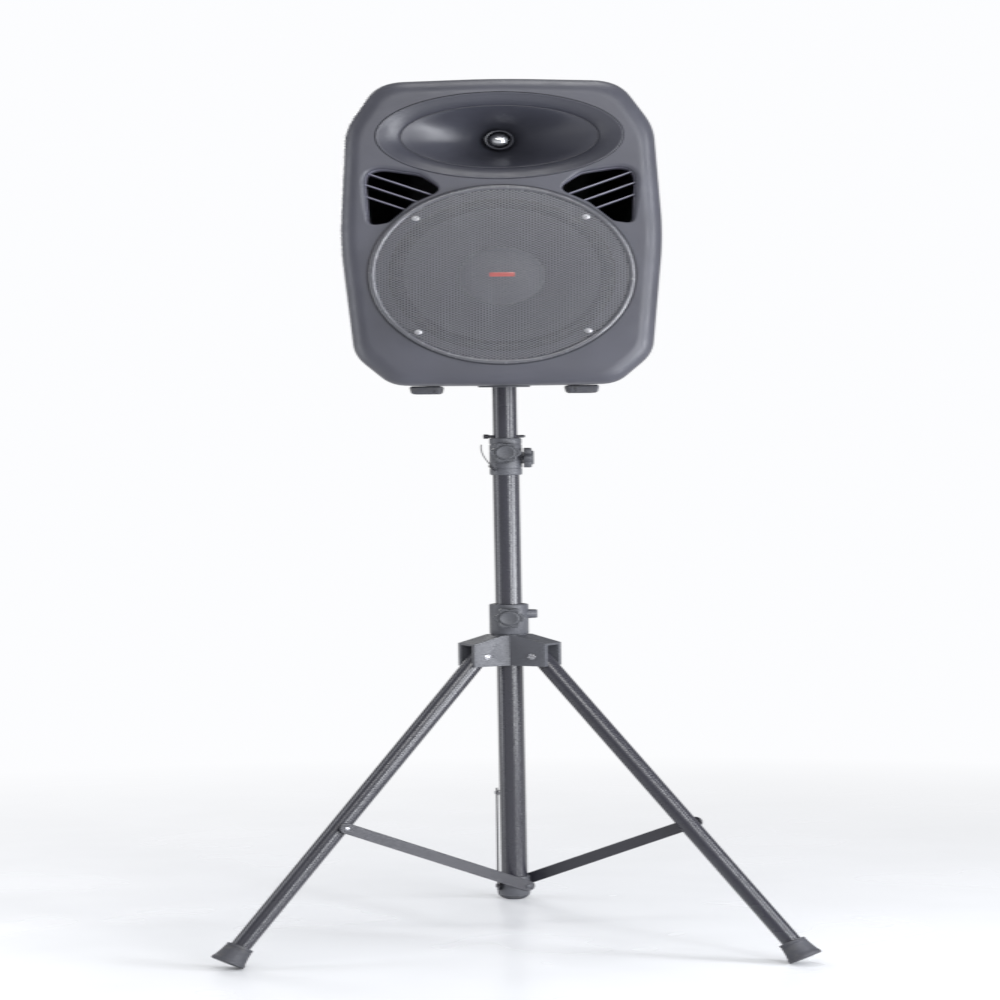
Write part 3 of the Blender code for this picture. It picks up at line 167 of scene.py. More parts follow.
def turnOut(obj):
    bm = bmesh.new()
    bm.from_mesh(obj.data)
    bmesh.ops.remove_doubles(bm, verts=bm.verts, dist=0.000002)
    bmesh.ops.recalc_face_normals(bm, faces=bm.faces)
    bm.to_mesh(obj.data)
    bm.free()
    return obj


def settle(obj):
    # Turns live modifiers into a plain mesh.
    shown = obj.evaluated_get(bpy.context.evaluated_depsgraph_get())
    mesh = bpy.data.meshes.new_from_object(shown)
    obj.modifiers.clear()
    obj.data = mesh
    return obj


def finish(obj, material, body, slotName, *nodes, angle=38.0):
    obj.data.materials.clear()
    obj.data.materials.append(material)
    obj.data.shade_smooth()
    obj.data.set_sharp_from_angle(angle=math.radians(angle))
    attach(obj, body)
    if nodes:
        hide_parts(*nodes)
    return obj


def turnedShape(name, profile, matrix, steps=72):
    # Profile of (radius, height), turned about the matrix's Z. It is closed by itself
    # where it ends on the axis, and is a ring where it doesn't.
    onAxis = profile[0][0] < 1e-6
    verts, faces, rows = [], [], []
    for radius, height in profile:
        if radius < 1e-6:
            rows.append([len(verts)])
            verts.append(matrix @ Vector((0, 0, height)))
            continue
        rows.append(list(range(len(verts), len(verts) + steps)))
        for k in range(steps):
            angle = 2 * math.pi * k / steps
            verts.append(matrix @ Vector((radius * math.cos(angle), radius * math.sin(angle), height)))
    pairs = list(zip(rows, rows[1:]))
    if not onAxis:
        pairs.append((rows[-1], rows[0]))
    for one, two in pairs:
        for k in range(steps):
            j = (k + 1) % steps
            if len(one) == 1:
                faces.append((one[0], two[j], two[k]))
            elif len(two) == 1:
                faces.append((one[k], one[j], two[0]))
            else:
                faces.append((one[k], one[j], two[j], two[k]))
    return turnOut(showMesh(name, verts, faces))


def loftShape(name, rings, capFirst=True, capLast=True, loop=False):
    count = len(rings[0])
    verts = [Vector(point) for ring in rings for point in ring]
    faces = []
    pairs = [(i, i + 1) for i in range(len(rings) - 1)]
    if loop:
        pairs.append((len(rings) - 1, 0))
    for one, two in pairs:
        for k in range(count):
            j = (k + 1) % count
            faces.append((one * count + k, one * count + j, two * count + j, two * count + k))
    if capFirst and not loop:
        faces.append(tuple(range(count)))
    if capLast and not loop:
        last = (len(rings) - 1) * count
        faces.append(tuple(range(last, last + count)))
    return turnOut(showMesh(name, verts, faces))


def blockShape(name, low, high, matrix=Matrix.Identity(4)):
    bm = bmesh.new()
    bmesh.ops.create_cube(bm, size=1.0)
    bmesh.ops.scale(bm, vec=Vector(high) - Vector(low), verts=bm.verts)
    bmesh.ops.translate(bm, vec=(Vector(high) + Vector(low)) / 2, verts=bm.verts)
    bm.transform(matrix)
    made = showMesh(name, [], [])
    bm.to_mesh(made.data)
    bm.free()
    return made


def carve(obj, operation, *others):
    for other in others:
        made = obj.modifiers.new(other.name, "BOOLEAN")
        made.operation = operation
        made.solver = "EXACT"
        made.object = other
    settle(obj)
    for other in others:
        bpy.data.objects.remove(other, do_unlink=True)
    return obj


def roundEdges(obj, width, segments=3, angle=35.0):
    made = obj.modifiers.new("roundEdges", "BEVEL")
    made.width = width
    made.segments = segments
    made.limit_method = "ANGLE"
    made.angle_limit = math.radians(angle)
    return settle(obj)


def merge(obj, *others):
    bm = bmesh.new()
    bm.from_mesh(obj.data)
    for other in others:
        bm.from_mesh(other.data)
        bpy.data.objects.remove(other, do_unlink=True)
    bm.to_mesh(obj.data)
    bm.free()
    return obj


def softCopy(node, width, segments=2, angle=35.0):
    # A copy of a frame node, with its flat faces made whole and its edges rounded.
    source = frame["nodes"][node]
    bm = bmesh.new()
    bm.from_mesh(source.data)
    bmesh.ops.remove_doubles(bm, verts=bm.verts, dist=0.00002)
    bmesh.ops.dissolve_limit(bm, angle_limit=math.radians(1.0), verts=bm.verts, edges=bm.edges)
    made = showMesh(node + "_fine", [], [])
    bm.to_mesh(made.data)
    bm.free()
    return roundEdges(made, width, segments, angle)


def eased(corners, radii, steps=10):
    # A closed outline whose corners are rounded.
    points = []
    count = len(corners)
    for i, (corner, radius) in enumerate(zip(corners, radii)):
        here = Vector(corner)
        before = Vector(corners[i - 1]) - here
        after = Vector(corners[(i + 1) % count]) - here
        if radius <= 0:
            points.append(here)
            continue
        reach = min(radius * math.tan((math.pi - before.angle(after)) / 2),
                    0.48 * min(before.length, after.length))
        start = here + before.normalized() * reach
        end = here + after.normalized() * reach
        for k in range(steps + 1):
            t = k / steps
            points.append(start * (1 - t) ** 2 + here * 2 * t * (1 - t) + end * t**2)
    return points


def evenly(points, count):
    # The same closed outline with its points spaced evenly along it.
    lengths = [(points[(i + 1) % len(points)] - p).length for i, p in enumerate(points)]
    total = sum(lengths)
    made, i, passed = [], 0, 0.0
    for k in range(count):
        target = total * k / count
        while passed + lengths[i] < target:
            passed += lengths[i]
            i += 1
        along = (target - passed) / lengths[i]
        made.append(points[i].lerp(points[(i + 1) % len(points)], along))
    return made


def grown(outline, distance):
    # Moves each point outwards; distance is a number or a function of the point.
    count = len(outline)
    area = sum(outline[i - 1].cross(outline[i]) for i in range(count))
    side = 1 if area > 0 else -1
    moved = []
    for i, point in enumerate(outline):
        along = (outline[(i + 1) % count] - outline[i - 1]).normalized()
        step = distance(point) if callable(distance) else distance
        moved.append(point + Vector((along.y, -along.x)) * side * step)
    return moved


def upright(outline, y):
    # A flat outline of (x, height above the cabinet's base) at a depth y.
    return [(p.x, y, baseZ + p.y) for p in outline]


def at(x, y, z, *turns):
    matrix = Matrix.Translation((x, y, z))
    for angle, axis in turns:
        matrix = matrix @ Matrix.Rotation(math.radians(angle), 4, axis)
    return matrix


def middleOf(node):
    low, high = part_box(node)
    return (low + high) / 2


def holeCutter(radius, reach, place, steps=32):
    # A rod along the place's Z, as long on one side of it as on the other.
    return turnedShape("hole", ((0.0, reach), (radius, reach), (radius, -reach), (0.0, -reach)), place, steps)



class Finish:
    # A material with its shader, and short ways to add the nodes that shape it.
    def __init__(self, name, colour, roughness, metallic=0.0):
        self.material = bpy.data.materials.new(name)
        self.material.use_nodes = True
        self.nodes = self.material.node_tree.nodes
        self.links = self.material.node_tree.links
        self.shader = self.nodes["Principled BSDF"]
        self.shader.inputs["Base Color"].default_value = (*colour, 1.0)
        self.shader.inputs["Roughness"].default_value = roughness
        self.shader.inputs["Metallic"].default_value = metallic
        self.colour = colour
        self.place = self.nodes.new("ShaderNodeTexCoord").outputs["Object"]
        self.height = None

    def stretched(self, scale, turn=(0, 0, 0)):
        made = self.nodes.new("ShaderNodeMapping")
        made.inputs["Scale"].default_value = scale
        made.inputs["Rotation"].default_value = [math.radians(a) for a in turn]
        self.links.new(self.place, made.inputs["Vector"])
        return made.outputs["Vector"]

    def noise(self, scale, detail=3.0, rough=0.55, vector=None):
        made = self.nodes.new("ShaderNodeTexNoise")
        made.inputs["Scale"].default_value = scale
        made.inputs["Detail"].default_value = detail
        made.inputs["Roughness"].default_value = rough
        self.links.new(vector or self.place, made.inputs["Vector"])
        return made.outputs["Fac"]

    def cells(self, scale, vector=None):
        made = self.nodes.new("ShaderNodeTexVoronoi")
        made.feature = "SMOOTH_F1"
        made.inputs["Scale"].default_value = scale
        self.links.new(vector or self.place, made.inputs["Vector"])
        return made.outputs["Distance"]

    def spread(self, value, low, high, fromLow=0.3, fromHigh=0.7):
        made = self.nodes.new("ShaderNodeMapRange")
        made.inputs["From Min"].default_value = fromLow
        made.inputs["From Max"].default_value = fromHigh
        made.inputs["To Min"].default_value = low
        made.inputs["To Max"].default_value = high
        self.links.new(value, made.inputs["Value"])
        return made.outputs["Result"]

    def between(self, value, one, two):
        made = self.nodes.new("ShaderNodeMix")
        made.data_type = "RGBA"
        made.inputs["A"].default_value = (*one, 1.0)
        made.inputs["B"].default_value = (*two, 1.0)
        self.links.new(value, made.inputs["Factor"])
        return made.outputs["Result"]

    def bump(self, value, strength, distance):
        made = self.nodes.new("ShaderNodeBump")
        made.inputs["Strength"].default_value = strength
        made.inputs["Distance"].default_value = distance
        self.links.new(value, made.inputs["Height"])
        if self.height is not None:
            self.links.new(self.height, made.inputs["Normal"])
        self.height = made.outputs["Normal"]
        self.links.new(self.height, self.shader.inputs["Normal"])

    def tint(self, value, one, two):
        self.links.new(self.between(value, one, two), self.shader.inputs["Base Color"])

    def rough(self, value, low, high):
        self.links.new(self.spread(value, low, high), self.shader.inputs["Roughness"])

    def shade(self, amount):
        return tuple(channel * amount for channel in self.colour)


def mouldedPlastic(name, colour, roughness, grain=900.0, depth=0.00012, strength=0.35):
    made = Finish(name, colour, roughness)
    broad = made.noise(7.0, 2.0)
    made.tint(made.spread(broad, 0.0, 1.0), made.shade(0.86), made.shade(1.14))
    made.rough(made.noise(45.0, 4.0), roughness - 0.05, roughness + 0.07)
    made.bump(made.cells(grain), strength, depth)
    made.bump(made.noise(grain * 2.3, 2.0), strength * 0.5, depth * 0.6)
    return made.material


def powderCoat(name, colour, roughness):
    made = Finish(name, colour, roughness)
    scuffs = made.noise(9.0, 6.0, 0.7, made.stretched((3.0, 3.0, 0.35)))
    made.tint(made.spread(scuffs, 0.0, 1.0, 0.52, 0.72), made.shade(0.96), made.shade(1.16))
    made.rough(made.noise(24.0, 2.0), roughness - 0.015, roughness + 0.02)
    made.bump(made.noise(900.0, 1.0), 0.02, 0.00001)
    made.shader.inputs["Coat Weight"].default_value = 0.25
    made.shader.inputs["Coat Roughness"].default_value = 0.18
    return made.material


def glossPaint(name, colour, roughness):
    made = Finish(name, colour, roughness)
    made.tint(made.noise(30.0, 3.0), made.shade(0.8), made.shade(1.3))
    made.rough(made.noise(140.0, 3.0), roughness - 0.03, roughness + 0.05)
    made.bump(made.noise(420.0, 1.0), 0.10, 0.00006)
    made.shader.inputs["Coat Weight"].default_value = 0.7
    made.shader.inputs["Coat Roughness"].default_value = 0.08
    return made.material


def platedSteel(name, colour, roughness):
    made = Finish(name, colour, roughness, 1.0)
    lines = made.noise(240.0, 4.0, 0.6, made.stretched((1.0, 8.0, 1.0)))
    made.tint(made.noise(150.0, 2.0), made.shade(0.82), made.shade(1.1))
    made.rough(lines, roughness - 0.08, roughness + 0.12)
    made.bump(lines, 0.12, 0.00005)
    return made.material


def floorRubber(name, colour, roughness):
    made = Finish(name, colour, roughness)
    dust = made.noise(70.0, 5.0, 0.65)
    made.tint(made.spread(dust, 0.0, 1.0, 0.50, 0.80), made.shade(0.9), (0.075, 0.073, 0.070))
    made.rough(made.noise(110.0, 3.0), roughness - 0.08, roughness + 0.10)
    made.bump(made.noise(620.0, 3.0), 0.45, 0.00016)
    return made.material


def pressedPaper(name, colour, roughness):
    made = Finish(name, colour, roughness)
    fibres = made.noise(320.0, 6.0, 0.7, made.stretched((1.0, 0.4, 1.0)))
    made.tint(made.spread(fibres, 0.0, 1.0), made.shade(0.75), made.shade(1.35))
    made.rough(made.noise(80.0, 3.0), roughness - 0.1, roughness + 0.05)
    made.bump(fibres, 0.6, 0.00022)
    made.shader.inputs["Sheen Weight"].default_value = 0.15
    made.shader.inputs["Sheen Roughness"].default_value = 0.5
    return made.material


def laminate(name, colour, roughness):
    made = Finish(name, colour, roughness)
    weave = made.noise(260.0, 2.0, 0.5, made.stretched((1.0, 1.0, 3.0)))
    made.tint(weave, made.shade(0.7), made.shade(1.4))
    made.rough(made.noise(90.0, 2.0), roughness - 0.1, roughness + 0.1)
    made.bump(weave, 0.15, 0.00005)
    return made.material


cabinetFinish = mouldedPlastic("texturedCharcoal", (0.044, 0.045, 0.058), 0.42)
rearFinish = mouldedPlastic("texturedCharcoalRear", (0.042, 0.043, 0.055), 0.50, 760.0, 0.00016)
hornFinish = mouldedPlastic("smoothCharcoal", (0.034, 0.035, 0.046), 0.36, 1500.0, 0.00005, 0.25)
# Painted light: the ducts' plastic is much lighter than the cabinet's and stands in for the light that falls
# inside the ports.
ductPaintedLightFinish = mouldedPlastic("ductPaintedLight", (0.200, 0.200, 0.250), 0.42, 1100.0)
nylonFinish = mouldedPlastic("glassFilledNylon", (0.058, 0.060, 0.070), 0.45, 1250.0, 0.00008)
knobFinish = mouldedPlastic("knobNylon", (0.050, 0.052, 0.060), 0.50, 1000.0, 0.00010)
panelFinish = powderCoat("panelPaint", (0.020, 0.020, 0.023), 0.42)
tubeFinish = powderCoat("satinBlackTube", (0.020, 0.020, 0.028), 0.27)
strapFinish = powderCoat("satinBlackStrap", (0.017, 0.017, 0.024), 0.40)
grilleFinish = powderCoat("grillePaint", (0.125, 0.126, 0.142), 0.36)
rimFinish = glossPaint("rimPaint", (0.055, 0.056, 0.066), 0.24)
steelFinish = platedSteel("brightPlate", (0.36, 0.36, 0.38), 0.30)
darkSteelFinish = platedSteel("blackenedSteel", (0.055, 0.055, 0.062), 0.36)
plugFinish = platedSteel("polishedPlug", (0.50, 0.51, 0.54), 0.18)
sinkFinish = platedSteel("anodisedBlack", (0.075, 0.076, 0.082), 0.38)
rubberFinish = floorRubber("capRubber", (0.045, 0.046, 0.056), 0.60)
surroundFinish = floorRubber("surroundRubber", (0.024, 0.024, 0.028), 0.50)
paperFinish = pressedPaper("conePaper", (0.052, 0.053, 0.060), 0.60)
domeFinish = pressedPaper("dustCapPaper", (0.080, 0.082, 0.092), 0.42)
boardFinish = laminate("boardLaminate", (0.02, 0.10, 0.045), 0.5)
badgeFinish = glossPaint("badgeRed", (0.24, 0.050, 0.045), 0.42)
markFinish = glossPaint("panelMark", (0.55, 0.55, 0.56), 0.45)
print("finishes made")

# The cabinet. Its corners are drawn for the half width and height given with them,
# as (distance from the middle, height above the base).
cabinet = {
    "corners": ((0.000, 0.000), (0.156, 0.001), (0.207, 0.064), (0.224, 0.310),
                (0.2135, 0.537), (0.166, 0.633), (0.000, 0.640)),
    "radii": (0.0, 0.045, 0.075, 0.900, 0.130, 0.060, 1.200),
    "drawnHalfWidth": 0.220,
    "drawnHeight": 0.640,
    "pointsRound": 240,
    "edgeDepth": 0.030,
    "edgeInset": 0.026,
    "edgeDrop": 0.030,
    "wall": 0.004,
    "seamGap": 0.0016,
    "gasket": 0.002,  # thickness of the band in the seam
    "backRoom": 0.0002,  # between the shell's back and the frame's
    "ribCount": 26,
    "ribPitch": 0.0068,
    "ribRadius": 0.0019,
    "ribLength": 0.150,
    "ribDepth": 0.018,  # where the first rib is, behind the seam
    "ribHeight": 0.245,  # and the ribs' lower ends, above the base
}


def cabinetOutline(inset=0.0, lift=0.0, drop=0.0):
    corners = list(cabinet["corners"])
    radii = list(cabinet["radii"])
    left = [(-x, z) for x, z in reversed(corners[1:-1])]
    outline = evenly(eased(corners + left, radii + list(reversed(radii[1:-1]))), cabinet["pointsRound"])
    narrow = (halfWidth - inset) / cabinet["drawnHalfWidth"]
    short = (cabinetHeight - lift - drop) / cabinet["drawnHeight"]
    return [Vector((p.x * narrow, lift + p.y * short)) for p in outline]


def baffleRings(wall, start):
    rings = []
    steps = 12
    for k in range(steps + 1):
        angle = math.pi / 2 * k / steps
        depth = start + (cabinet["edgeDepth"] - start) * (1 - math.cos(angle))
        inset = cabinet["edgeInset"] * (1 - math.sin(angle)) + wall
        drop = cabinet["edgeDrop"] * (1 - math.sin(angle)) + wall
        rings.append(upright(cabinetOutline(inset, inset, drop), frontY + depth))
    rings.append(upright(cabinetOutline(wall, wall, wall), seamY - cabinet["seamGap"]))
    return rings


port = {
    "corners": ((0.189, 0.458), (0.112, 0.441), (0.077, 0.409),
                (0.122, 0.380), (0.156, 0.340), (0.184, 0.334)),
    "radii": (0.034, 0.030, 0.016, 0.0, 0.016, 0.024),
    "middle": (0.149, 0.402),
    "points": 120,
    "lip": 0.0085,
    "thinLip": 0.0025,
    "depth": 0.058,
    "fins": 3,
    "finPitch": 0.0245,
    "finThick": 0.0016,
    "finSlope": 27.0,
    "finStart": 0.011,
}
woofer = {
    "z": 0.230,
    "hole": 0.159,
    "rim": 0.1855,
    "clear": 0.194,  # the ports' edges are thin where they come this near to its middle
    "behind": 0.0043,  # the surround lies this far behind the baffle's face
    "cone": 0.1375,
    "coneDeep": 0.0555,
    "coil": 0.031,
    "cap": 0.060,
    "capHigh": 0.0165,
}
wooferFace = at(0, frontY, baseZ + woofer["z"]) @ down
horn = {
    "z": 0.519,
    "mouth": (0.171, 0.0885),
    "seam": (0.1385, 0.0655),
    "depth": 0.120,
    "seamDepth": 0.022,
    "throat": 0.017,
    "clear": 0.0022,
    "points": 144,
}


def portOutline(side):
    corners = [(side * x, z) for x, z in port["corners"]]
    return evenly(eased(corners, port["radii"], 14), port["points"])


def lipWidth(point):
    # The rolled edge is broad away from the grille and thin beside it.
    clear = math.hypot(point.x, point.y - woofer["z"]) - woofer["clear"]
    share = max(0.0, min(1.0, clear / 0.055))
    return port["thinLip"] + (port["lip"] - port["thinLip"]) * share * share * (3 - 2 * share)


def ellipseOutline(halfX, halfZ, centreZ, count):
    turns = [2 * math.pi * k / count for k in range(count)]
    return [Vector((halfX * math.cos(a), centreZ + halfZ * math.sin(a))) for a in turns]


def plug(name, outline, low, high):
    return loftShape(name, [upright(outline, low), upright(outline, high)])


def makeBaffle():
    outer = baffleRings(0.0, 0.0)
    inner = baffleRings(cabinet["wall"], cabinet["wall"])
    baffle = loftShape("baffleFine", outer + list(reversed(inner)))
    low, high = frontY - 0.02, frontY + cabinet["wall"] + 0.02
    wooferHole = ellipseOutline(woofer["hole"], woofer["hole"], woofer["z"], 120)
    cutters = [plug("wooferHole", wooferHole, low, high)]
    mouthX, mouthZ = [half + horn["clear"] for half in horn["mouth"]]
    mouth = ellipseOutline(mouthX, mouthZ, horn["z"], horn["points"])
    cutters.append(plug("hornHole", mouth, low, high))
    for side in (-1, 1):
        cutters.append(plug("portHole", grown(portOutline(side), lipWidth), low, high))
    outside, inside = woofer["rim"] + 0.0022, woofer["rim"] - 0.004
    ring = ((outside, 0.004), (outside, -0.0022), (inside, -0.0022), (inside, 0.004))
    cutters.append(turnedShape("grilleGroove", ring, wooferFace, 144))
    carve(baffle, "DIFFERENCE", *cutters)
    for side in (-1, 1):
        merge(baffle, makeLip(side))
    bm = bmesh.new()
    bm.from_mesh(baffle.data)
    bmesh.ops.remove_doubles(bm, verts=bm.verts, dist=0.00002)
    bm.to_mesh(baffle.data)
    bm.free()
    finish(baffle, cabinetFinish, "speaker", "cabinet_plastic", "front_baffle", angle=42.0)


def makeLip(side):
    # Rolls from the baffle's face into the duct.
    outline = portOutline(side)
    rings = []
    steps = 8
    for k in range(steps + 1):
        angle = math.pi / 2 * k / steps

        def reach(point, angle=angle):
            return lipWidth(point) * (1 - math.sin(angle))

        ring = []
        for edge, drawn in zip(grown(outline, reach), outline):
            deep = lipWidth(drawn) * (1 - math.cos(angle))
            ring.append((edge.x, frontY + deep, baseZ + edge.y))
        rings.append(ring)
    inside = [(x, y + 0.0035, z) for x, y, z in rings[-1]]
    behind = upright(grown(outline, 0.0016), frontY + 0.012)
    lip = loftShape("lip", rings + [inside, behind], capFirst=False, capLast=False)
    centre = outline[0].lerp(outline[len(outline) // 2], 0.5)
    face = lip.data.polygons[0]
    towards = Vector((centre.x - face.center.x, -0.02, baseZ + centre.y - face.center.z))
    if face.normal.dot(towards) < 0:
        lip.data.flip_normals()
    return lip


def makePort(side, node):
    outline = portOutline(side)
    inner = grown(outline, -0.0004)
    start, end = frontY + 0.009, frontY + port["depth"]
    rings = [upright(inner, start), upright(inner, end), upright(grown(outline, 0.0014), end),
             upright(grown(outline, 0.0014), start)]
    duct = loftShape("duct", rings, loop=True)
    xs, zs = port["middle"][0] * side, port["middle"][1]
    pieces = [duct]
    for i in range(port["fins"]):
        height = zs - 0.001 + (1 - i) * port["finPitch"]
        matrix = at(xs, 0, baseZ + height, (-side * port["finSlope"], "Y"))
        half = port["finThick"] / 2
        fin = blockShape("fin", (-0.12, frontY + port["finStart"], -half), (0.12, end - 0.006, half), matrix)
        shell = plug("shell", grown(outline, 0.0002), frontY - 0.01, end + 0.01)
        carve(fin, "INTERSECT", shell)
        pieces.append(roundEdges(fin, 0.0005, 2, 60.0))
    merge(*pieces)
    # The duct and its fins carry painted light: their lightened plastic stands in for light inside the port.
    finish(duct, ductPaintedLightFinish, "speaker", "cabinet_plastic", node)


def makeHorn():
    count = horn["points"]
    mouthX, mouthZ = horn["mouth"]
    seamX, seamZ = horn["seam"]
    rings = []

    def add(depth, halfX, halfZ):
        rings.append(upright(ellipseOutline(halfX, halfZ, horn["z"], count), frontY + depth))

    add(0.0060, mouthX + 0.0016, mouthZ + 0.0016)
    add(0.0016, mouthX + 0.0016, mouthZ + 0.0016)
    add(0.0006, mouthX + 0.0012, mouthZ + 0.0012)
    add(0.0002, mouthX + 0.0002, mouthZ + 0.0002)
    add(0.0005, mouthX - 0.0012, mouthZ - 0.0011)
    steps = 8
    for k in range(1, steps + 1):  # the shallow dish round the flare
        t = k / steps
        deep = 0.0014 + (horn["seamDepth"] - 0.0014) * (0.55 * t + 0.45 * t * t)
        add(deep, mouthX + (seamX - mouthX) * t - 0.0015 * (1 - t), mouthZ + (seamZ - mouthZ) * t)
    add(horn["seamDepth"] + 0.0014, seamX - 0.0004, seamZ - 0.0004)
    add(horn["seamDepth"] + 0.0014, seamX - 0.0014, seamZ - 0.0014)
    add(horn["seamDepth"] + 0.0002, seamX - 0.0020, seamZ - 0.0020)
    throat = horn["throat"]
    steps = 22
    for k in range(1, steps + 1):  # the flare, down to the round throat
        t = k / steps
        deep = horn["seamDepth"] + (horn["depth"] - horn["seamDepth"]) * t**1.15
        near = (1 - t) ** 1.28
        flat = (1 - t) ** 0.86
        add(deep, throat + (seamX - 0.002 - throat) * near, throat + (seamZ - 0.002 - throat) * flat)
    wall = []
    middleZ = baseZ + horn["z"]
    for ring in reversed(rings[4:]):  # the horn's back, a wall's thickness away
        moved = []
        for x, y, z in ring:
            away = Vector((x, z - middleZ))
            away = away * ((away.length + 0.0024) / away.length)
            moved.append((away.x, y + 0.0022, middleZ + away.y))
        wall.append(moved)
    piece = loftShape("hornFine", rings + wall, loop=True)
    finish(piece, hornFinish, "speaker", "cabinet_plastic", "horn", angle=50.0)


def makePlug():
    axis = at(0, frontY + horn["depth"], baseZ + horn["z"]) @ down
    profile = [(0.0, 0.0345)]
    for k in range(1, 13):
        angle = math.pi / 2 * k / 12
        profile.append((0.0155 * math.sin(angle), 0.0225 + 0.012 * math.cos(angle)))
    profile += [(0.0152, 0.0200), (0.0140, 0.0180), (0.0128, 0.0160), (0.0120, 0.0), (0.0, 0.0)]
    bulb = turnedShape("throatPlug", profile, axis, 64)
    finish(bulb, plugFinish, "speaker", "plug_metal", "phase_plug")
    collar = ((0.0205, 0.0300), (0.0195, 0.0315), (0.0180, 0.0310), (0.0172, 0.0270), (0.0172, 0.001),
              (0.0190, 0.001), (0.0205, 0.020))
    ring = turnedShape("throatRing", collar, axis, 64)
    finish(ring, hornFinish, "speaker", "cabinet_plastic")


makeBaffle()
makePort(-1, "port_left")
makePort(1, "port_right")
makeHorn()
makePlug()
print("baffle, ports and horn made")

# The grille is a sheet of six-sided cells, made by Geometry Nodes.
grille = {
    "pitch": 0.0050,
    "open": 0.72,
    "reach": 0.1790,
    "edgeHeight": 0.0046,
    "dome": 0.0070,
    "thick": 0.0011,
    "badgeHalf": 0.0175,
    "badgeTall": 0.0045,
    "badgeRound": 0.0014,
}


class Tree:
    # A node tree for one modifier, with named inputs.
    def __init__(self, name):
        self.group = bpy.data.node_groups.new(name, "GeometryNodeTree")
        self.group.interface.new_socket("Geometry", in_out="INPUT", socket_type="NodeSocketGeometry")
        self.group.interface.new_socket("Geometry", in_out="OUTPUT", socket_type="NodeSocketGeometry")
        self.values = {}
        self.entry = self.group.nodes.new("NodeGroupInput")
        self.exit = self.group.nodes.new("NodeGroupOutput")

    def ask(self, name, kind, value):
        made = self.group.interface.new_socket(name, in_out="INPUT", socket_type="NodeSocket" + kind)
        self.values[made.identifier] = value
        return self.entry.outputs[name]

    def node(self, kind, **settings):
        made = self.group.nodes.new(kind)
        for key, value in settings.items():
            setattr(made, key, value)
        return made

    def join(self, source, target):
        self.group.links.new(source, target)

    def put(self, target, value):
        if isinstance(value, bpy.types.NodeSocket):
            self.join(value, target)
        else:
            target.default_value = value

    def maths(self, operation, one, two=0.0):
        made = self.node("ShaderNodeMath", operation=operation)
        self.put(made.inputs[0], one)
        self.put(made.inputs[1], two)
        return made.outputs[0]

    def vector(self, x=0.0, y=0.0, z=0.0):
        made = self.node("ShaderNodeCombineXYZ")
        for socket, value in zip(made.inputs, (x, y, z)):
            self.put(socket, value)
        return made.outputs[0]

    def parts(self, vector):
        made = self.node("ShaderNodeSeparateXYZ")
        self.join(vector, made.inputs[0])
        return made.outputs

    def close(self, geometry, material):
        real = self.node("GeometryNodeRealizeInstances")
        paint = self.node("GeometryNodeSetMaterial")
        self.join(geometry, real.inputs[0])
        self.join(real.outputs[0], paint.inputs["Geometry"])
        self.join(self.ask("Finish", "Material", material), paint.inputs["Material"])
        self.join(paint.outputs[0], self.exit.inputs[0])

    def build(self, name, matrix=Matrix.Identity(4), start=None):
        made = start or showMesh(name, [], [])
        modifier = made.modifiers.new(name, "NODES")
        modifier.node_group = self.group
        for identifier, value in self.values.items():
            modifier[identifier] = value
        settle(made)
        made.data.transform(matrix)
        return made


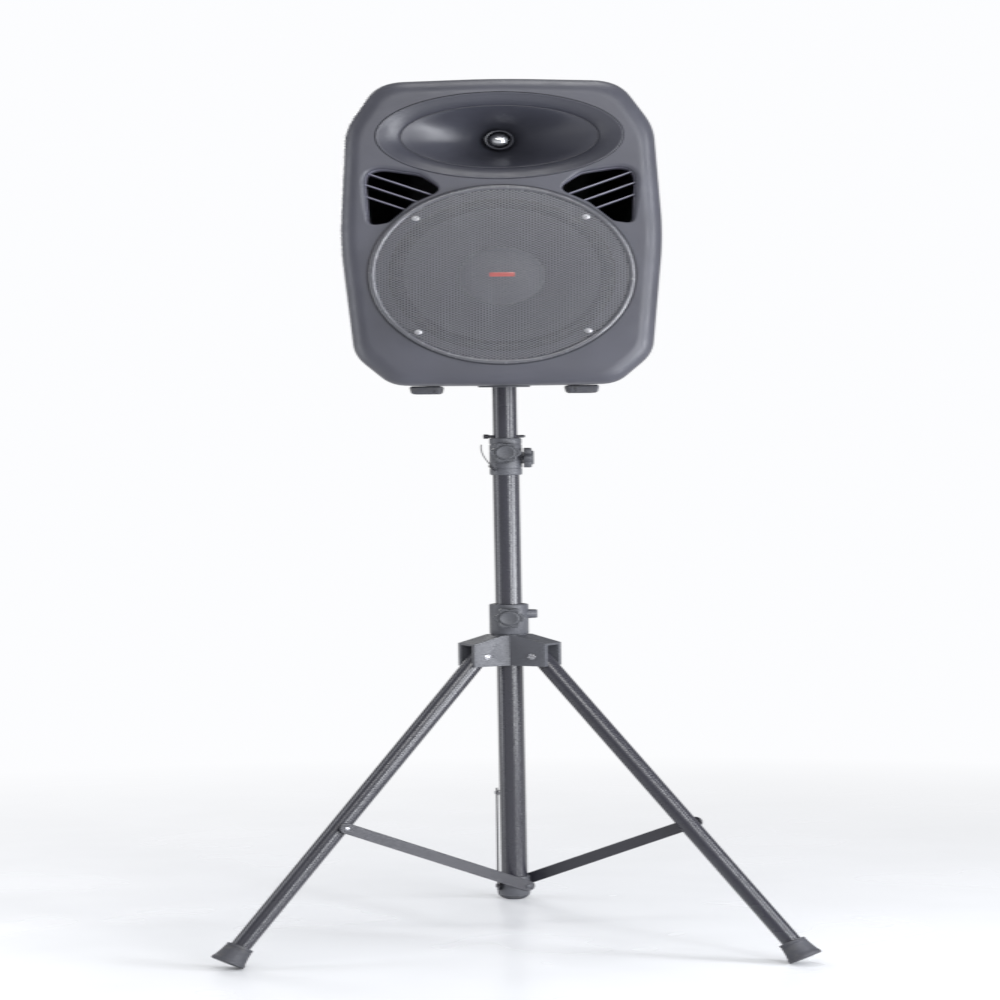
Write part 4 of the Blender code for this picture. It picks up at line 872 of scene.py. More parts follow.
def makePerforations():
    tree = Tree("perforatedSheet")
    pitch = tree.ask("Pitch", "Float", grille["pitch"])
    opened = tree.ask("Open share", "Float", grille["open"])
    reach = tree.ask("Reach", "Float", grille["reach"])
    columnStep = tree.maths("MULTIPLY", pitch, math.sqrt(3) / 2)
    rows = tree.maths("DIVIDE", tree.maths("MULTIPLY", reach, 2.0), pitch)
    rows = tree.maths("ADD", tree.maths("CEIL", rows), 4)
    columns = tree.maths("ADD", tree.maths("CEIL", tree.maths("DIVIDE", reach, columnStep)), 1)
    columns = tree.maths("ADD", tree.maths("MULTIPLY", columns, 2.0), 1.0)
    grid = tree.node("GeometryNodeMeshGrid")
    for count, step, size in ((columns, columnStep, "Size X"), (rows, pitch, "Size Y")):
        tree.join(tree.maths("MULTIPLY", tree.maths("SUBTRACT", count, 1.0), step), grid.inputs[size])
    tree.join(columns, grid.inputs["Vertices X"])
    tree.join(rows, grid.inputs["Vertices Y"])
    where = tree.node("GeometryNodeInputPosition").outputs[0]
    column = tree.maths("ROUND", tree.maths("DIVIDE", tree.parts(where)[0], columnStep))
    odd = tree.maths("FLOORED_MODULO", column, 2.0)
    shift = tree.node("GeometryNodeSetPosition")
    tree.join(grid.outputs["Mesh"], shift.inputs["Geometry"])
    tree.join(tree.vector(0.0, tree.maths("MULTIPLY", odd, tree.maths("MULTIPLY", pitch, 0.5))),
              shift.inputs["Offset"])
    length = tree.node("ShaderNodeVectorMath", operation="LENGTH")
    tree.join(where, length.inputs[0])
    points = tree.node("GeometryNodeMeshToPoints")
    tree.join(shift.outputs[0], points.inputs["Mesh"])
    trim = tree.node("GeometryNodeDeleteGeometry", domain="POINT")
    tree.join(points.outputs[0], trim.inputs["Geometry"])
    tree.join(tree.maths("GREATER_THAN", length.outputs["Value"], reach), trim.inputs["Selection"])

    cell = tree.node("GeometryNodeMeshCircle", fill_type="NGON")
    cell.inputs["Vertices"].default_value = 6
    tree.join(tree.maths("DIVIDE", pitch, math.sqrt(3)), cell.inputs["Radius"])
    inset = tree.node("GeometryNodeExtrudeMesh", mode="FACES")
    tree.join(cell.outputs[0], inset.inputs["Mesh"])
    inset.inputs["Offset Scale"].default_value = 0.0
    shrink = tree.node("GeometryNodeScaleElements")
    tree.join(inset.outputs["Mesh"], shrink.inputs["Geometry"])
    tree.join(inset.outputs["Top"], shrink.inputs["Selection"])
    tree.join(opened, shrink.inputs["Scale"])
    empty = tree.node("GeometryNodeDeleteGeometry", domain="FACE")
    tree.join(shrink.outputs[0], empty.inputs["Geometry"])
    tree.join(inset.outputs["Top"], empty.inputs["Selection"])
    copies = tree.node("GeometryNodeInstanceOnPoints")
    tree.join(trim.outputs[0], copies.inputs["Points"])
    tree.join(empty.outputs[0], copies.inputs["Instance"])
    real = tree.node("GeometryNodeRealizeInstances")
    tree.join(copies.outputs[0], real.inputs[0])
    web = tree.node("GeometryNodeMergeByDistance")
    tree.join(real.outputs[0], web.inputs["Geometry"])
    web.inputs["Distance"].default_value = 0.00005

    share = tree.maths("DIVIDE", length.outputs["Value"], reach)
    crown = tree.maths("SUBTRACT", 1.0, tree.maths("MULTIPLY", share, share))
    height = tree.maths("MULTIPLY", crown, tree.ask("Dome", "Float", grille["dome"]))
    height = tree.maths("ADD", height, tree.ask("Edge height", "Float", grille["edgeHeight"]))
    domed = tree.node("GeometryNodeSetPosition")
    tree.join(web.outputs[0], domed.inputs["Geometry"])
    tree.join(tree.vector(0.0, 0.0, height), domed.inputs["Offset"])
    tree.close(domed.outputs[0], grilleFinish)
    sheet = tree.build("grilleSheet", wooferFace)
    wall = sheet.modifiers.new("wall", "SOLIDIFY")
    wall.thickness = grille["thick"]
    wall.offset = -1.0 if sheet.data.polygons[0].normal.y < 0 else 1.0
    settle(sheet)
    turnOut(sheet)
    finish(sheet, grilleFinish, "speaker", "grille_steel", "grille", angle=30.0)


def makeRim():
    rim = woofer["rim"]
    profile = [(rim - 0.0100, 0.0040), (rim - 0.0092, 0.0046)]
    for k in range(9):
        angle = math.pi * (0.92 - 0.92 * k / 8)
        profile.append((rim - 0.0046 + 0.0046 * math.cos(angle), 0.0042 + 0.0036 * math.sin(angle)))
    profile += [(rim, 0.0002), (rim - 0.0100, 0.0002), (rim - 0.0106, 0.0024)]
    edge = turnedShape("grilleRim", list(reversed(profile)), wooferFace, 180)
    finish(edge, rimFinish, "speaker", "grille_steel")


def makeBadge():
    half, tall = grille["badgeHalf"], grille["badgeTall"]
    corners = [(-half, -tall), (half, -tall), (half, tall), (-half, tall)]
    outline = [Vector((p.x, woofer["z"] + p.y)) for p in eased(corners, [grille["badgeRound"]] * 4, 5)]
    top = frontY - grille["edgeHeight"] - grille["dome"]
    badge = plug("badgeBar", outline, top - 0.0008, top + 0.0006)
    finish(roundEdges(badge, 0.0003, 2), badgeFinish, "speaker", "grille_steel")


makePerforations()
makeRim()
makeBadge()
print("grille made")


def makeWoofer():
    window = woofer["hole"] - 0.002
    cone, coil, deep = woofer["cone"], woofer["coil"], woofer["coneDeep"]
    roll = -woofer["behind"] - 0.004
    profile = [(window, roll - 0.0012), (window, roll)]
    steps = 14
    for k in range(steps + 1):  # the half roll
        angle = math.pi * k / steps
        middleR = (window - 0.003 + cone + 0.004) / 2
        halfR = (window - 0.003 - cone - 0.004) / 2
        profile.append((middleR + halfR * math.cos(angle), roll + 0.0036 * math.sin(angle)))
    profile += [(cone + 0.0004, roll - 0.0015), (cone + 0.0004, roll - 0.0032)]
    surround = turnedShape("surroundFine", profile, wooferFace, 120)
    finish(surround, surroundFinish, "speaker", "surround_rubber", "woofer_surround")

    top = roll - 0.0026
    rows = []
    steps = 40
    for k in range(steps + 1):  # a curved cone with pressed rings
        t = k / steps
        radius = cone + (coil - cone) * t
        height = top - deep * (0.86 * t + 0.14 * t * t) - 0.0022 * math.sin(math.pi * t)
        if 3 < k < 24 and k % 5 == 0:
            height += 0.0009
        rows.append((radius, height))
    profile = rows + [(radius, height - 0.0011) for radius, height in reversed(rows)]
    piece = turnedShape("coneFine", profile, wooferFace, 120)
    finish(piece, paperFinish, "speaker", "cone_paper", "woofer_cone", angle=60.0)

    cap, high = woofer["cap"], woofer["capHigh"]
    seat = top - deep * 0.735 + 0.0008
    rows = [(0.0, seat + high)]
    for k in range(1, 15):
        angle = math.pi / 2 * k / 14
        rows.append((cap * math.sin(angle) ** 0.97, seat + high * math.cos(angle) ** 1.1))
    inner = [(radius * 0.97, height - 0.0009) for radius, height in reversed(rows)]
    inner[-1] = (0.0, rows[0][1] - 0.0010)
    dome = turnedShape("dustCapFine", rows + inner, wooferFace, 96)
    finish(dome, domeFinish, "speaker", "cone_paper", "dust_cap")


makeWoofer()
print("woofer made")

# Rows of the rear shell behind the seam: depth, side inset, lift, and drop of the top.
rearSections = (
    (0.0000, 0.0000, 0.0000, 0.0000),
    (0.0080, 0.0000, 0.0000, 0.0000),
    (0.0330, 0.0050, 0.0000, 0.0040),
    (0.1280, 0.0180, 0.0000, 0.0180),
    (0.2280, 0.0470, 0.0000, 0.0450),
    (0.2680, 0.0660, 0.0120, 0.0680),
    (0.2860, 0.0800, 0.0240, 0.0860),
    (0.2930, 0.0950, 0.0380, 0.1000),
)


def smoothed(rows, parts=5):
    # A curve through the rows, by Catmull and Rom's rule.
    made = []
    for i in range(len(rows) - 1):
        p0, p1, p2 = Vector(rows[max(i - 1, 0)]), Vector(rows[i]), Vector(rows[i + 1])
        p3 = Vector(rows[min(i + 2, len(rows) - 1)])
        for k in range(parts):
            t = k / parts
            made.append(0.5 * (2 * p1 + (p2 - p0) * t + (2 * p0 - 5 * p1 + 4 * p2 - p3) * t**2
                               + (3 * p1 - p0 - 3 * p2 + p3) * t**3))
    return made + [Vector(rows[-1])]


cupLow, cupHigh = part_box("handle_cup")
panelLow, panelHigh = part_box("amp_panel")
socketLow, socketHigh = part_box("pole_socket")
handle = {
    "bar": 0.0078,
    "arch": 0.012,
    "wide": 0.72,  # share of the bar that the rubber sleeve covers
    "sleeve": 1.05,
}
cabinetFoot = {"round": 0.0016, "slotAside": 0.012, "slotHalf": 0.0011, "slotDeep": 0.011}
panel = {
    "round": 0.008,
    "opening": 0.010,  # how far the shell reaches under the panel's edge
    "screws": (3, 4),
    "screwInset": 0.0072,
    "screwHead": 0.0034,
    "screwTall": 0.0016,
    "holes": {"level_knob_1": 0.0035, "level_knob_2": 0.0035, "input_jack": 0.0088},
    "inlet": (-0.055, 1.391),
    "inletHalf": (0.0138, 0.0103),
    "blades": ((-0.007, -0.001), (0.0, 0.002), (0.007, -0.001)),
}


def makeRearShell():
    rows = [(0.0, 0.0, 0.0, 0.0), (0.0004, 0.0, 0.0, 0.0)] + list(rearSections[1:])
    depth = backY - seamY - cabinet["backRoom"]
    outer, inner = [], []
    for row in smoothed(rows):
        y = seamY + max(0.0, min(row[0], depth))
        inset, lift, drop = [max(0.0, value) for value in row[1:]]
        outer.append(upright(cabinetOutline(inset, lift, drop), y))
        wall = cabinet["wall"]
        inner.append(upright(cabinetOutline(inset + wall, lift + wall, drop + wall), min(y, backY - wall)))
    shell = loftShape("rearShell", list(reversed(outer)) + inner)
    opening = panel["opening"]
    cutters = [blockShape("panelCut", (panelLow.x + opening, backY - 0.03, panelLow.z + opening),
                          (panelHigh.x - opening, backY + 0.03, panelHigh.z - opening))]
    cutters.append(blockShape("cupCut", cupLow + Vector((-0.0003, -0.0003, -0.02)),
                              cupHigh + Vector((0.0003, 0.0003, 0.05))))
    profile = ((0.0, 0.05), (0.0215, 0.05), (0.0215, -0.03), (0.0, -0.03))
    cutters.append(turnedShape("socketCut", profile, at(mast.x, mast.y, baseZ), 64))
    carve(shell, "DIFFERENCE", *cutters)
    finish(shell, rearFinish, "speaker", "cabinet_plastic", "rear_cabinet", angle=50.0)


def makeGasket():
    front, behind = seamY - cabinet["seamGap"] * 1.2, seamY + 0.002
    outside = cabinet["seamGap"] * 1.4
    inside = outside + cabinet["gasket"]
    band = []
    for inset, y in ((outside, front), (outside, behind), (inside, behind), (inside, front)):
        band.append(upright(cabinetOutline(inset, inset, inset), y))
    gasket = loftShape("seamGasket", band, loop=True)
    finish(gasket, surroundFinish, "speaker", "cabinet_plastic")


def makeSideRibs():
    # Grip ribs low on both sides of the rear shell.
    for side, name in ((-1, "left"), (1, "right")):
        tree = Tree("gripRibs")
        line = tree.node("GeometryNodeMeshLine", mode="OFFSET", count_mode="TOTAL")
        tree.join(tree.ask("Count", "Int", cabinet["ribCount"]), line.inputs["Count"])
        tree.join(tree.vector(0.0, tree.ask("Pitch", "Float", cabinet["ribPitch"])), line.inputs["Offset"])
        rib = tree.node("GeometryNodeCurvePrimitiveLine")
        length = tree.ask("Length", "Float", cabinet["ribLength"])
        tree.join(tree.vector(0.0, 0.0, length), rib.inputs["End"])
        section = tree.node("GeometryNodeCurvePrimitiveCircle")
        section.inputs["Resolution"].default_value = 8
        tree.join(tree.ask("Radius", "Float", cabinet["ribRadius"]), section.inputs["Radius"])
        bar = tree.node("GeometryNodeCurveToMesh")
        tree.join(rib.outputs[0], bar.inputs["Curve"])
        tree.join(section.outputs[0], bar.inputs["Profile Curve"])
        bar.inputs["Fill Caps"].default_value = True
        copies = tree.node("GeometryNodeInstanceOnPoints")
        tree.join(line.outputs[0], copies.inputs["Points"])
        tree.join(bar.outputs[0], copies.inputs["Instance"])
        tree.close(copies.outputs[0], rearFinish)
        ribs = tree.build("gripRibs_" + name)
        for vert in ribs.data.vertices:
            depth = cabinet["ribDepth"] + vert.co.y
            height = cabinet["ribHeight"] + vert.co.z
            bulge = sectionAt(depth, height)
            vert.co = Vector((side * (bulge + vert.co.x), seamY + depth, baseZ + height))
        turnOut(ribs)
        finish(ribs, rearFinish, "speaker", "cabinet_plastic")


def sectionAt(depth, height):
    # The rear shell's half width at a depth behind the seam and a height.
    rows = smoothed(rearSections, 8)
    before = [row for row in rows if row[0] <= depth][-1]
    outline = cabinetOutline(before[1], max(before[2], 0.0), before[3])
    near = sorted((p for p in outline if p.x > 0.05), key=lambda p: abs(p.y - height))[:2]
    return sum(p.x for p in near) / 2


def makeHandle():
    cup = softCopy("handle_cup", 0.0012, 2)
    finish(cup, rearFinish, "speaker", "cabinet_plastic", "handle_cup")
    barLow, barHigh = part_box("top_handle")
    middleY = (barLow.y + barHigh.y) / 2
    half = (barHigh.x - barLow.x) / 2 - handle["bar"]
    crown = barHigh.z - handle["bar"]
    steps = 44
    path = []
    for k in range(steps + 1):
        angle = math.pi * (1 - k / steps)
        x = half * math.copysign(abs(math.cos(angle)) ** 0.45, math.cos(angle))
        path.append(Vector((x, middleY, crown - handle["arch"] + handle["arch"] * math.sin(angle) ** 0.8)))
    ends = [Vector((path[k].x, middleY, cupLow.z + 0.004)) for k in (0, -1)]
    path = [ends[0]] + path + [ends[1]]
    rings = []
    for i, point in enumerate(path):
        along = (path[min(i + 1, len(path) - 1)] - path[max(i - 1, 0)]).normalized()
        out = along.cross(Vector((0, 1, 0)))
        swell = handle["bar"] * (1.0 if abs(point.x) < half * 0.8 else 0.94)
        ring = []
        for j in range(24):
            turn = 2 * math.pi * j / 24
            ring.append(point + out * swell * math.sin(turn) + Vector((0, swell * math.cos(turn), 0)))
        rings.append(ring)
    bar = loftShape("handleBar", rings)
    finish(bar, nylonFinish, "speaker", "cabinet_plastic", "top_handle", angle=60.0)
    sleeve = []
    for ring, point in zip(rings, path):
        if abs(point.x) < half * handle["wide"] and point.z > crown - 0.02:
            centre = sum(ring, Vector((0, 0, 0))) / len(ring)
            sleeve.append([centre + (p - centre) * handle["sleeve"] for p in ring])
    wrap = loftShape("handleGrip", sleeve)
    finish(wrap, rubberFinish, "speaker", "foot_rubber")


def makeFeet():
    for i in range(1, 5):
        node = "cabinet_foot_%d" % i
        low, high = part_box(node)
        block = softCopy(node, cabinetFoot["round"], 3, 25.0)
        middleX = (low.x + high.x) / 2
        slotX = middleX + math.copysign(cabinetFoot["slotAside"], -middleX)
        half = cabinetFoot["slotHalf"]
        slot = blockShape("slot", (slotX - half, low.y - 0.01, low.z - 0.01),
                          (slotX + half, high.y + 0.01, low.z + cabinetFoot["slotDeep"]))
        carve(block, "DIFFERENCE", slot)
        finish(block, rubberFinish, "speaker", "foot_rubber", node)


def makeSocket():
    flange = (socketHigh.x - socketLow.x) / 2
    bottom, top = socketLow.z - baseZ, socketHigh.z - baseZ
    bore = 0.01815
    profile = ((0.0, top), (0.0190, top), (0.0208, top - 0.002), (0.0208, -0.0003),
               (flange - 0.001, -0.0003), (flange, -0.0011), (flange, bottom + 0.0012),
               (flange - 0.0012, bottom), (0.028, bottom), (0.0265, bottom + 0.0008),
               (0.0240, bottom + 0.0008), (0.0225, bottom), (bore + 0.0015, bottom),
               (bore, bottom + 0.0015), (bore, top - 0.003), (0.0, top - 0.003))
    fine = turnedShape("socketFine", profile, at(mast.x, mast.y, baseZ), 96)
    finish(fine, nylonFinish, "speaker", "socket_nylon", "pole_socket")


makeRearShell()
makeGasket()
makeSideRibs()
makeHandle()
makeFeet()
makeSocket()
print("rear shell, handle and feet made")

screw = {"head": 0.0048, "tall": 0.0022, "slot": 0.0011, "slotLong": 0.0030, "slotDeep": 0.0012}


def crossHead(name, radius, tall, place):
    # A pan head with a cross recess, on the Z = 0 plane.
    profile = [(0.0, tall)]
    for k in range(1, 9):
        angle = math.pi / 2 * k / 8
        profile.append((radius * math.sin(angle), tall * (0.35 + 0.65 * math.cos(angle))))
    profile += [(radius, 0.0), (0.0, 0.0)]
    head = turnedShape(name, profile, Matrix.Identity(4), 48)
    share = radius / screw["head"]
    long, wide = screw["slotLong"] * share, screw["slot"] * share / 2
    level = tall - screw["slotDeep"] * share
    cross = [blockShape("cross", (-long, -wide, level), (long, wide, tall + 0.01)),
             blockShape("cross", (-wide, -long, level), (wide, long, tall + 0.01))]
    carve(head, "DIFFERENCE", *cross)
    head.data.transform(place)
    return head


def makeGrilleScrews():
    for i in range(1, 5):
        node = "grille_screw_%d" % i
        spot = middleOf(node)
        place = at(spot.x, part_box(node)[0].y + screw["tall"] + 0.0006, spot.z, (25 * i, "Y")) @ down
        head = crossHead(node + "_fine", screw["head"], screw["tall"], place)
        washer = ((0.0, 0.0), (0.0052, 0.0), (0.0056, -0.0004), (0.0056, -0.0014), (0.0, -0.0014))
        shank = ((0.0, -0.001), (0.0019, -0.001), (0.0019, -0.0150), (0.0, -0.0155))
        merge(head, turnedShape("washer", washer, place, 48), turnedShape("shank", shank, place, 24))
        finish(head, steelFinish, "speaker", "bright_steel", node)


def copiesOf(name, piece, columns, rows, stepX, stepZ, material):
    # The piece, repeated in a grid in the X and Z directions by Geometry Nodes.
    tree = Tree(name)
    source = tree.node("GeometryNodeObjectInfo")
    tree.join(tree.ask("Piece", "Object", piece), source.inputs["Object"])
    line = tree.node("GeometryNodeMeshLine", mode="OFFSET", count_mode="TOTAL")
    tree.join(tree.ask("Columns", "Int", columns), line.inputs["Count"])
    tree.join(tree.vector(tree.ask("Column step", "Float", stepX)), line.inputs["Offset"])
    other = tree.node("GeometryNodeMeshLine", mode="OFFSET", count_mode="TOTAL")
    tree.join(tree.ask("Rows", "Int", rows), other.inputs["Count"])
    tree.join(tree.vector(0.0, 0.0, tree.ask("Row step", "Float", stepZ)), other.inputs["Offset"])
    row = tree.node("GeometryNodeInstanceOnPoints")
    tree.join(line.outputs[0], row.inputs["Points"])
    tree.join(source.outputs["Geometry"], row.inputs["Instance"])
    grid = tree.node("GeometryNodeInstanceOnPoints")
    tree.join(other.outputs[0], grid.inputs["Points"])
    tree.join(row.outputs[0], grid.inputs["Instance"])
    tree.close(grid.outputs[0], material)
    made = tree.build(name)
    bpy.data.objects.remove(piece, do_unlink=True)
    return made


def makePanel():
    low, high = panelLow, panelHigh
    out = high.y
    corners = [(low.x, low.z), (high.x, low.z), (high.x, high.z), (low.x, high.z)]
    outline = eased(corners, [panel["round"]] * 4, 6)
    plate = loftShape("panelFine", [[(p.x, y, p.y) for p in outline] for y in (low.y, out)])
    ways = []
    for node, radius in panel["holes"].items():
        spot = middleOf(node)
        ways.append(holeCutter(radius, 0.02, at(spot.x, out, spot.z) @ back, 40))
    rockerLow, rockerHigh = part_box("power_switch")
    (inletX, inletZ), (halfX, halfZ) = panel["inlet"], panel["inletHalf"]
    windows = ((rockerLow.x - 0.0003, rockerHigh.x + 0.0003, rockerLow.z - 0.0012, rockerHigh.z + 0.0012),
               (inletX - halfX, inletX + halfX, inletZ - halfZ, inletZ + halfZ))
    for left, right, bottom, top in windows:
        ways.append(blockShape("way", (left, low.y - 0.01, bottom), (right, out + 0.01, top)))
    carve(plate, "DIFFERENCE", *ways)
    roundEdges(plate, 0.0006, 2, 50.0)
    finish(plate, panelFinish, "speaker", "panel_steel", "amp_panel", angle=8.0)

    columns, rows = panel["screws"]
    inset = panel["screwInset"]
    place = at(low.x + inset, out, low.z + inset) @ back
    head = crossHead("panelScrew", panel["screwHead"], panel["screwTall"], place)
    stepX = (high.x - low.x - 2 * inset) / (columns - 1)
    stepZ = (high.z - low.z - 2 * inset) / (rows - 1)
    screws = copiesOf("panelScrews", head, columns, rows, stepX, stepZ, darkSteelFinish)
    finish(screws, darkSteelFinish, "speaker", "panel_steel")


def makeLevelKnobs():
    out = panelHigh.y
    sides = ((0.0004, 0.001), (0.0, 0.0016), (0.0006, 0.0125), (0.0012, 0.0142), (0.0024, 0.015),
             (0.0042, 0.0149), (0.0050, 0.0143))
    for node in ("level_knob_1", "level_knob_2"):
        low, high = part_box(node)
        place = at((low.x + high.x) / 2, out, (low.z + high.z) / 2) @ back
        radius = (high.x - low.x) / 2
        rings = []
        for shrink, level in sides:
            ring = []
            for k in range(120):
                angle = 2 * math.pi * k / 120
                flute = 0.0004 * (1 - math.cos(20 * angle)) / 2 if 0.001 < level < 0.014 else 0.0
                reach = radius - shrink - flute
                ring.append(place @ Vector((reach * math.cos(angle), reach * math.sin(angle), level)))
            rings.append(ring)
        dial = loftShape(node + "_fine", rings)
        stem = ((0.0, 0.005), (0.003, 0.005), (0.003, -0.0105), (0.0025, -0.011), (0.0, -0.011))
        merge(dial, turnedShape("stem", stem, place, 32))
        finish(dial, nylonFinish, node, "socket_nylon", node)
        pointer = blockShape("pointer", (-0.0005, 0.0030, 0.0138), (0.0005, radius - 0.0026, 0.01499), place)
        finish(roundEdges(pointer, 0.0001, 1), markFinish, node, "socket_nylon")


def makeSockets():
    out = panelHigh.y
    spot = middleOf("input_jack")
    place = at(spot.x, out + 0.0003, spot.z) @ back
    profile = ((0.0060, 0.0016), (0.0063, 0.0022), (0.0070, 0.0025), (0.0086, 0.0025), (0.0089, 0.0021),
               (0.0096, 0.0021), (0.0100, 0.0025), (0.0120, 0.0025), (0.0128, 0.0020), (0.0130, 0.0012),
               (0.0130, 0.0), (0.0085, 0.0), (0.0085, -0.022), (0.0020, -0.022), (0.0020, -0.020),
               (0.0060, -0.020))
    jack = turnedShape("jackFine", profile, place, 72)
    finish(jack, nylonFinish, "speaker", "socket_nylon", "input_jack")
    inlet = softCopy("power_inlet", 0.0005, 2)
    blades = []
    for x, z in panel["blades"]:
        blade = Vector((panel["inlet"][0] + x, out, panel["inlet"][1] + z))
        blades.append(blockShape("blade", blade - Vector((0.001, 0.0155, 0.002)),
                                 blade + Vector((0.001, -0.0040, 0.002))))
    finish(inlet, nylonFinish, "speaker", "socket_nylon", "power_inlet")
    merge(*blades)
    finish(roundEdges(blades[0], 0.0003, 1), steelFinish, "speaker", "socket_nylon")
    rocker = softCopy("power_switch", 0.0004, 2)
    finish(rocker, nylonFinish, "power_switch", "socket_nylon", "power_switch", angle=20.0)


sink = {"fins": 7, "finShare": 0.42, "lastShare": 0.55, "base": 0.005}


def makeSink():
    low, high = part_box("heat_sink")
    fins = sink["fins"]
    pitch = (high.x - low.x) / fins
    base = blockShape("sinkBase", low, (high.x - pitch * sink["lastShare"], low.y + sink["base"], high.z))
    fin = blockShape("sinkFin", low, (low.x + pitch * sink["finShare"], high.y, high.z))
    roundEdges(fin, 0.0006, 2)
    comb = copiesOf("sinkFins", fin, fins, 1, pitch, 0.0, sinkFinish)
    merge(comb, roundEdges(base, 0.0004, 1))
    finish(comb, sinkFinish, "speaker", "sink_aluminium", "heat_sink")


makeGrilleScrews()
makePanel()
makeLevelKnobs()
makeSockets()
makeSink()
print("screws and panel made")

# The stand. Every height is above the floor, and every radius from the mast's axis.
stand = {
    "tubeRadius": (tubeHigh.x - tubeLow.x) / 2,
    "upperRadius": 0.0175,
    "wall": 0.0012,
    "upperWall": 0.0015,
    "play": 0.00055,
    "gap": 0.0003,
    "pinPitch": 0.100,
    "pinHoles": 6,
    "pinHole": 0.0033,
}
clampLow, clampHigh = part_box("mast_clamp")
hubLow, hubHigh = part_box("hub")


def onMast(z=0.0, *turns):
    return at(mast.x, mast.y, z, *turns)


def tubeProfile(radius, wall, low, high):
    # A tube with its ends lightly rounded.
    soft = min(0.0004, wall / 3)
    inner = radius - wall
    return ((radius - soft, high), (radius, high - soft), (radius, low + soft), (radius - soft, low),
            (inner + soft, low), (inner, low + soft), (inner, high - soft), (inner + soft, high))


def makeMast():
    radius = stand["tubeRadius"]
    profile = tubeProfile(radius, stand["wall"], tubeLow.z, tubeHigh.z)
    tube = turnedShape("mainTubeFine", profile, onMast(), 96)
    finish(tube, tubeFinish, "stand", "stand_paint", "main_tube")

    low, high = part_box("upper_tube")
    profile = tubeProfile(stand["upperRadius"], stand["upperWall"], low.z, high.z)
    upper = turnedShape("upperTubeFine", profile, onMast(), 96)
    pinLow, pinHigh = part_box("locking_pin")
    pinZ = (pinLow.z + pinHigh.z) / 2
    cutters = []
    for i in range(stand["pinHoles"]):
        place = onMast(pinZ - i * stand["pinPitch"], (90, "Y"))
        cutters.append(holeCutter(stand["pinHole"], 0.05, place))
    carve(upper, "DIFFERENCE", *cutters)
    finish(upper, tubeFinish, "mast", "stand_paint", "upper_tube")

    reach = pinHigh.x - mast.x
    profile = [(0.0, reach), (0.0012, reach - 0.0002), (0.0024, reach - 0.0012), (0.0030, reach - 0.003),
               (0.0030, -0.0235), (0.0040, -0.0239), (0.0050, -0.0247), (0.0050, -0.0262), (0.0044, -0.0266),
               (0.0044, -0.0276), (0.0050, -0.0280), (0.0050, -0.0303), (0.0040, -0.0317), (0.0, -0.0320)]
    pin = turnedShape("pinFine", profile, onMast(pinZ, (90, "Y")), 40)
    finish(pin, darkSteelFinish, "locking_pin", "spring_steel", "locking_pin")


knob = {"radius": 0.0235, "thick": 0.015, "stem": 0.004, "lobes": 6, "disc": 0.0150, "points": 180}


def knobOutline(scale):
    # Six rather pointed lobes.
    points = []
    for k in range(knob["points"]):
        angle = 2 * math.pi * k / knob["points"]
        lobe = abs(math.cos(knob["lobes"] * angle / 2))
        radius = knob["radius"] * (0.80 + 0.20 * lobe**1.7) - scale
        points.append((radius * math.cos(angle), radius * math.sin(angle)))
    return points


def makeKnob(node, body, height, turn, seat, screwEnd):
    # Its face looks away from the mast; seat and screwEnd are distances from the mast's axis.
    place = onMast(height, (turn, "Z")) @ down
    low = seat + stand["gap"]
    high = low + knob["thick"]
    rings = []
    for shrink, level in ((0.0016, low), (0.0006, low + 0.0004), (0.0, low + 0.0014), (0.0, high - 0.0058),
                          (0.0005, high - 0.0043), (0.0016, high - 0.0034), (0.0030, high - 0.0031),
                          (0.0060, high - 0.0040)):
        rings.append([place @ Vector((x, y, level)) for x, y in knobOutline(shrink)])
    head = loftShape(node + "_fine", rings)
    disc = knob["disc"]
    profile = ((0.0, high - 0.0008), (disc - 0.0036, high - 0.0006), (disc - 0.0026, high),
               (disc - 0.0012, high - 0.0002), (disc - 0.0004, high - 0.0008), (disc, high - 0.0020),
               (disc, high - 0.0070), (0.0, high - 0.0070))
    cap = turnedShape("knobDisc", [(r, z - 0.0001) for r, z in profile], place, 72)
    stem = ((0.0, high - 0.006), (knob["stem"], high - 0.006), (knob["stem"], screwEnd + 0.0006),
            (knob["stem"] - 0.0006, screwEnd), (0.0, screwEnd))
    merge(head, cap, turnedShape("knobStem", stem, place, 40))
    finish(head, knobFinish, body, "stand_nylon", node, angle=32.0)


def screwWay(height, turn, radius=0.0045):
    hole = ((0.0, 0.1), (radius, 0.1), (radius, 0.005), (0.0, 0.005))
    return turnedShape("screwWay", hole, onMast(height, (turn, "Z")) @ down, 48)


clamp = {
    "radius": 0.0235,
    "lip": 0.015,  # at the top, where the collar narrows to the upper tube
    "groove": 0.0009,
    "knobs": (("front", 1.069, 0.0), ("side", 1.057, 90.0)),  # name, height, turn
    "boss": 0.0135,
    "bossHigh": 0.002,
    "wire": 0.0009,
    "wireClear": 0.0012,
    "wireFoot": 0.008,
    "wireRise": 0.058,
}


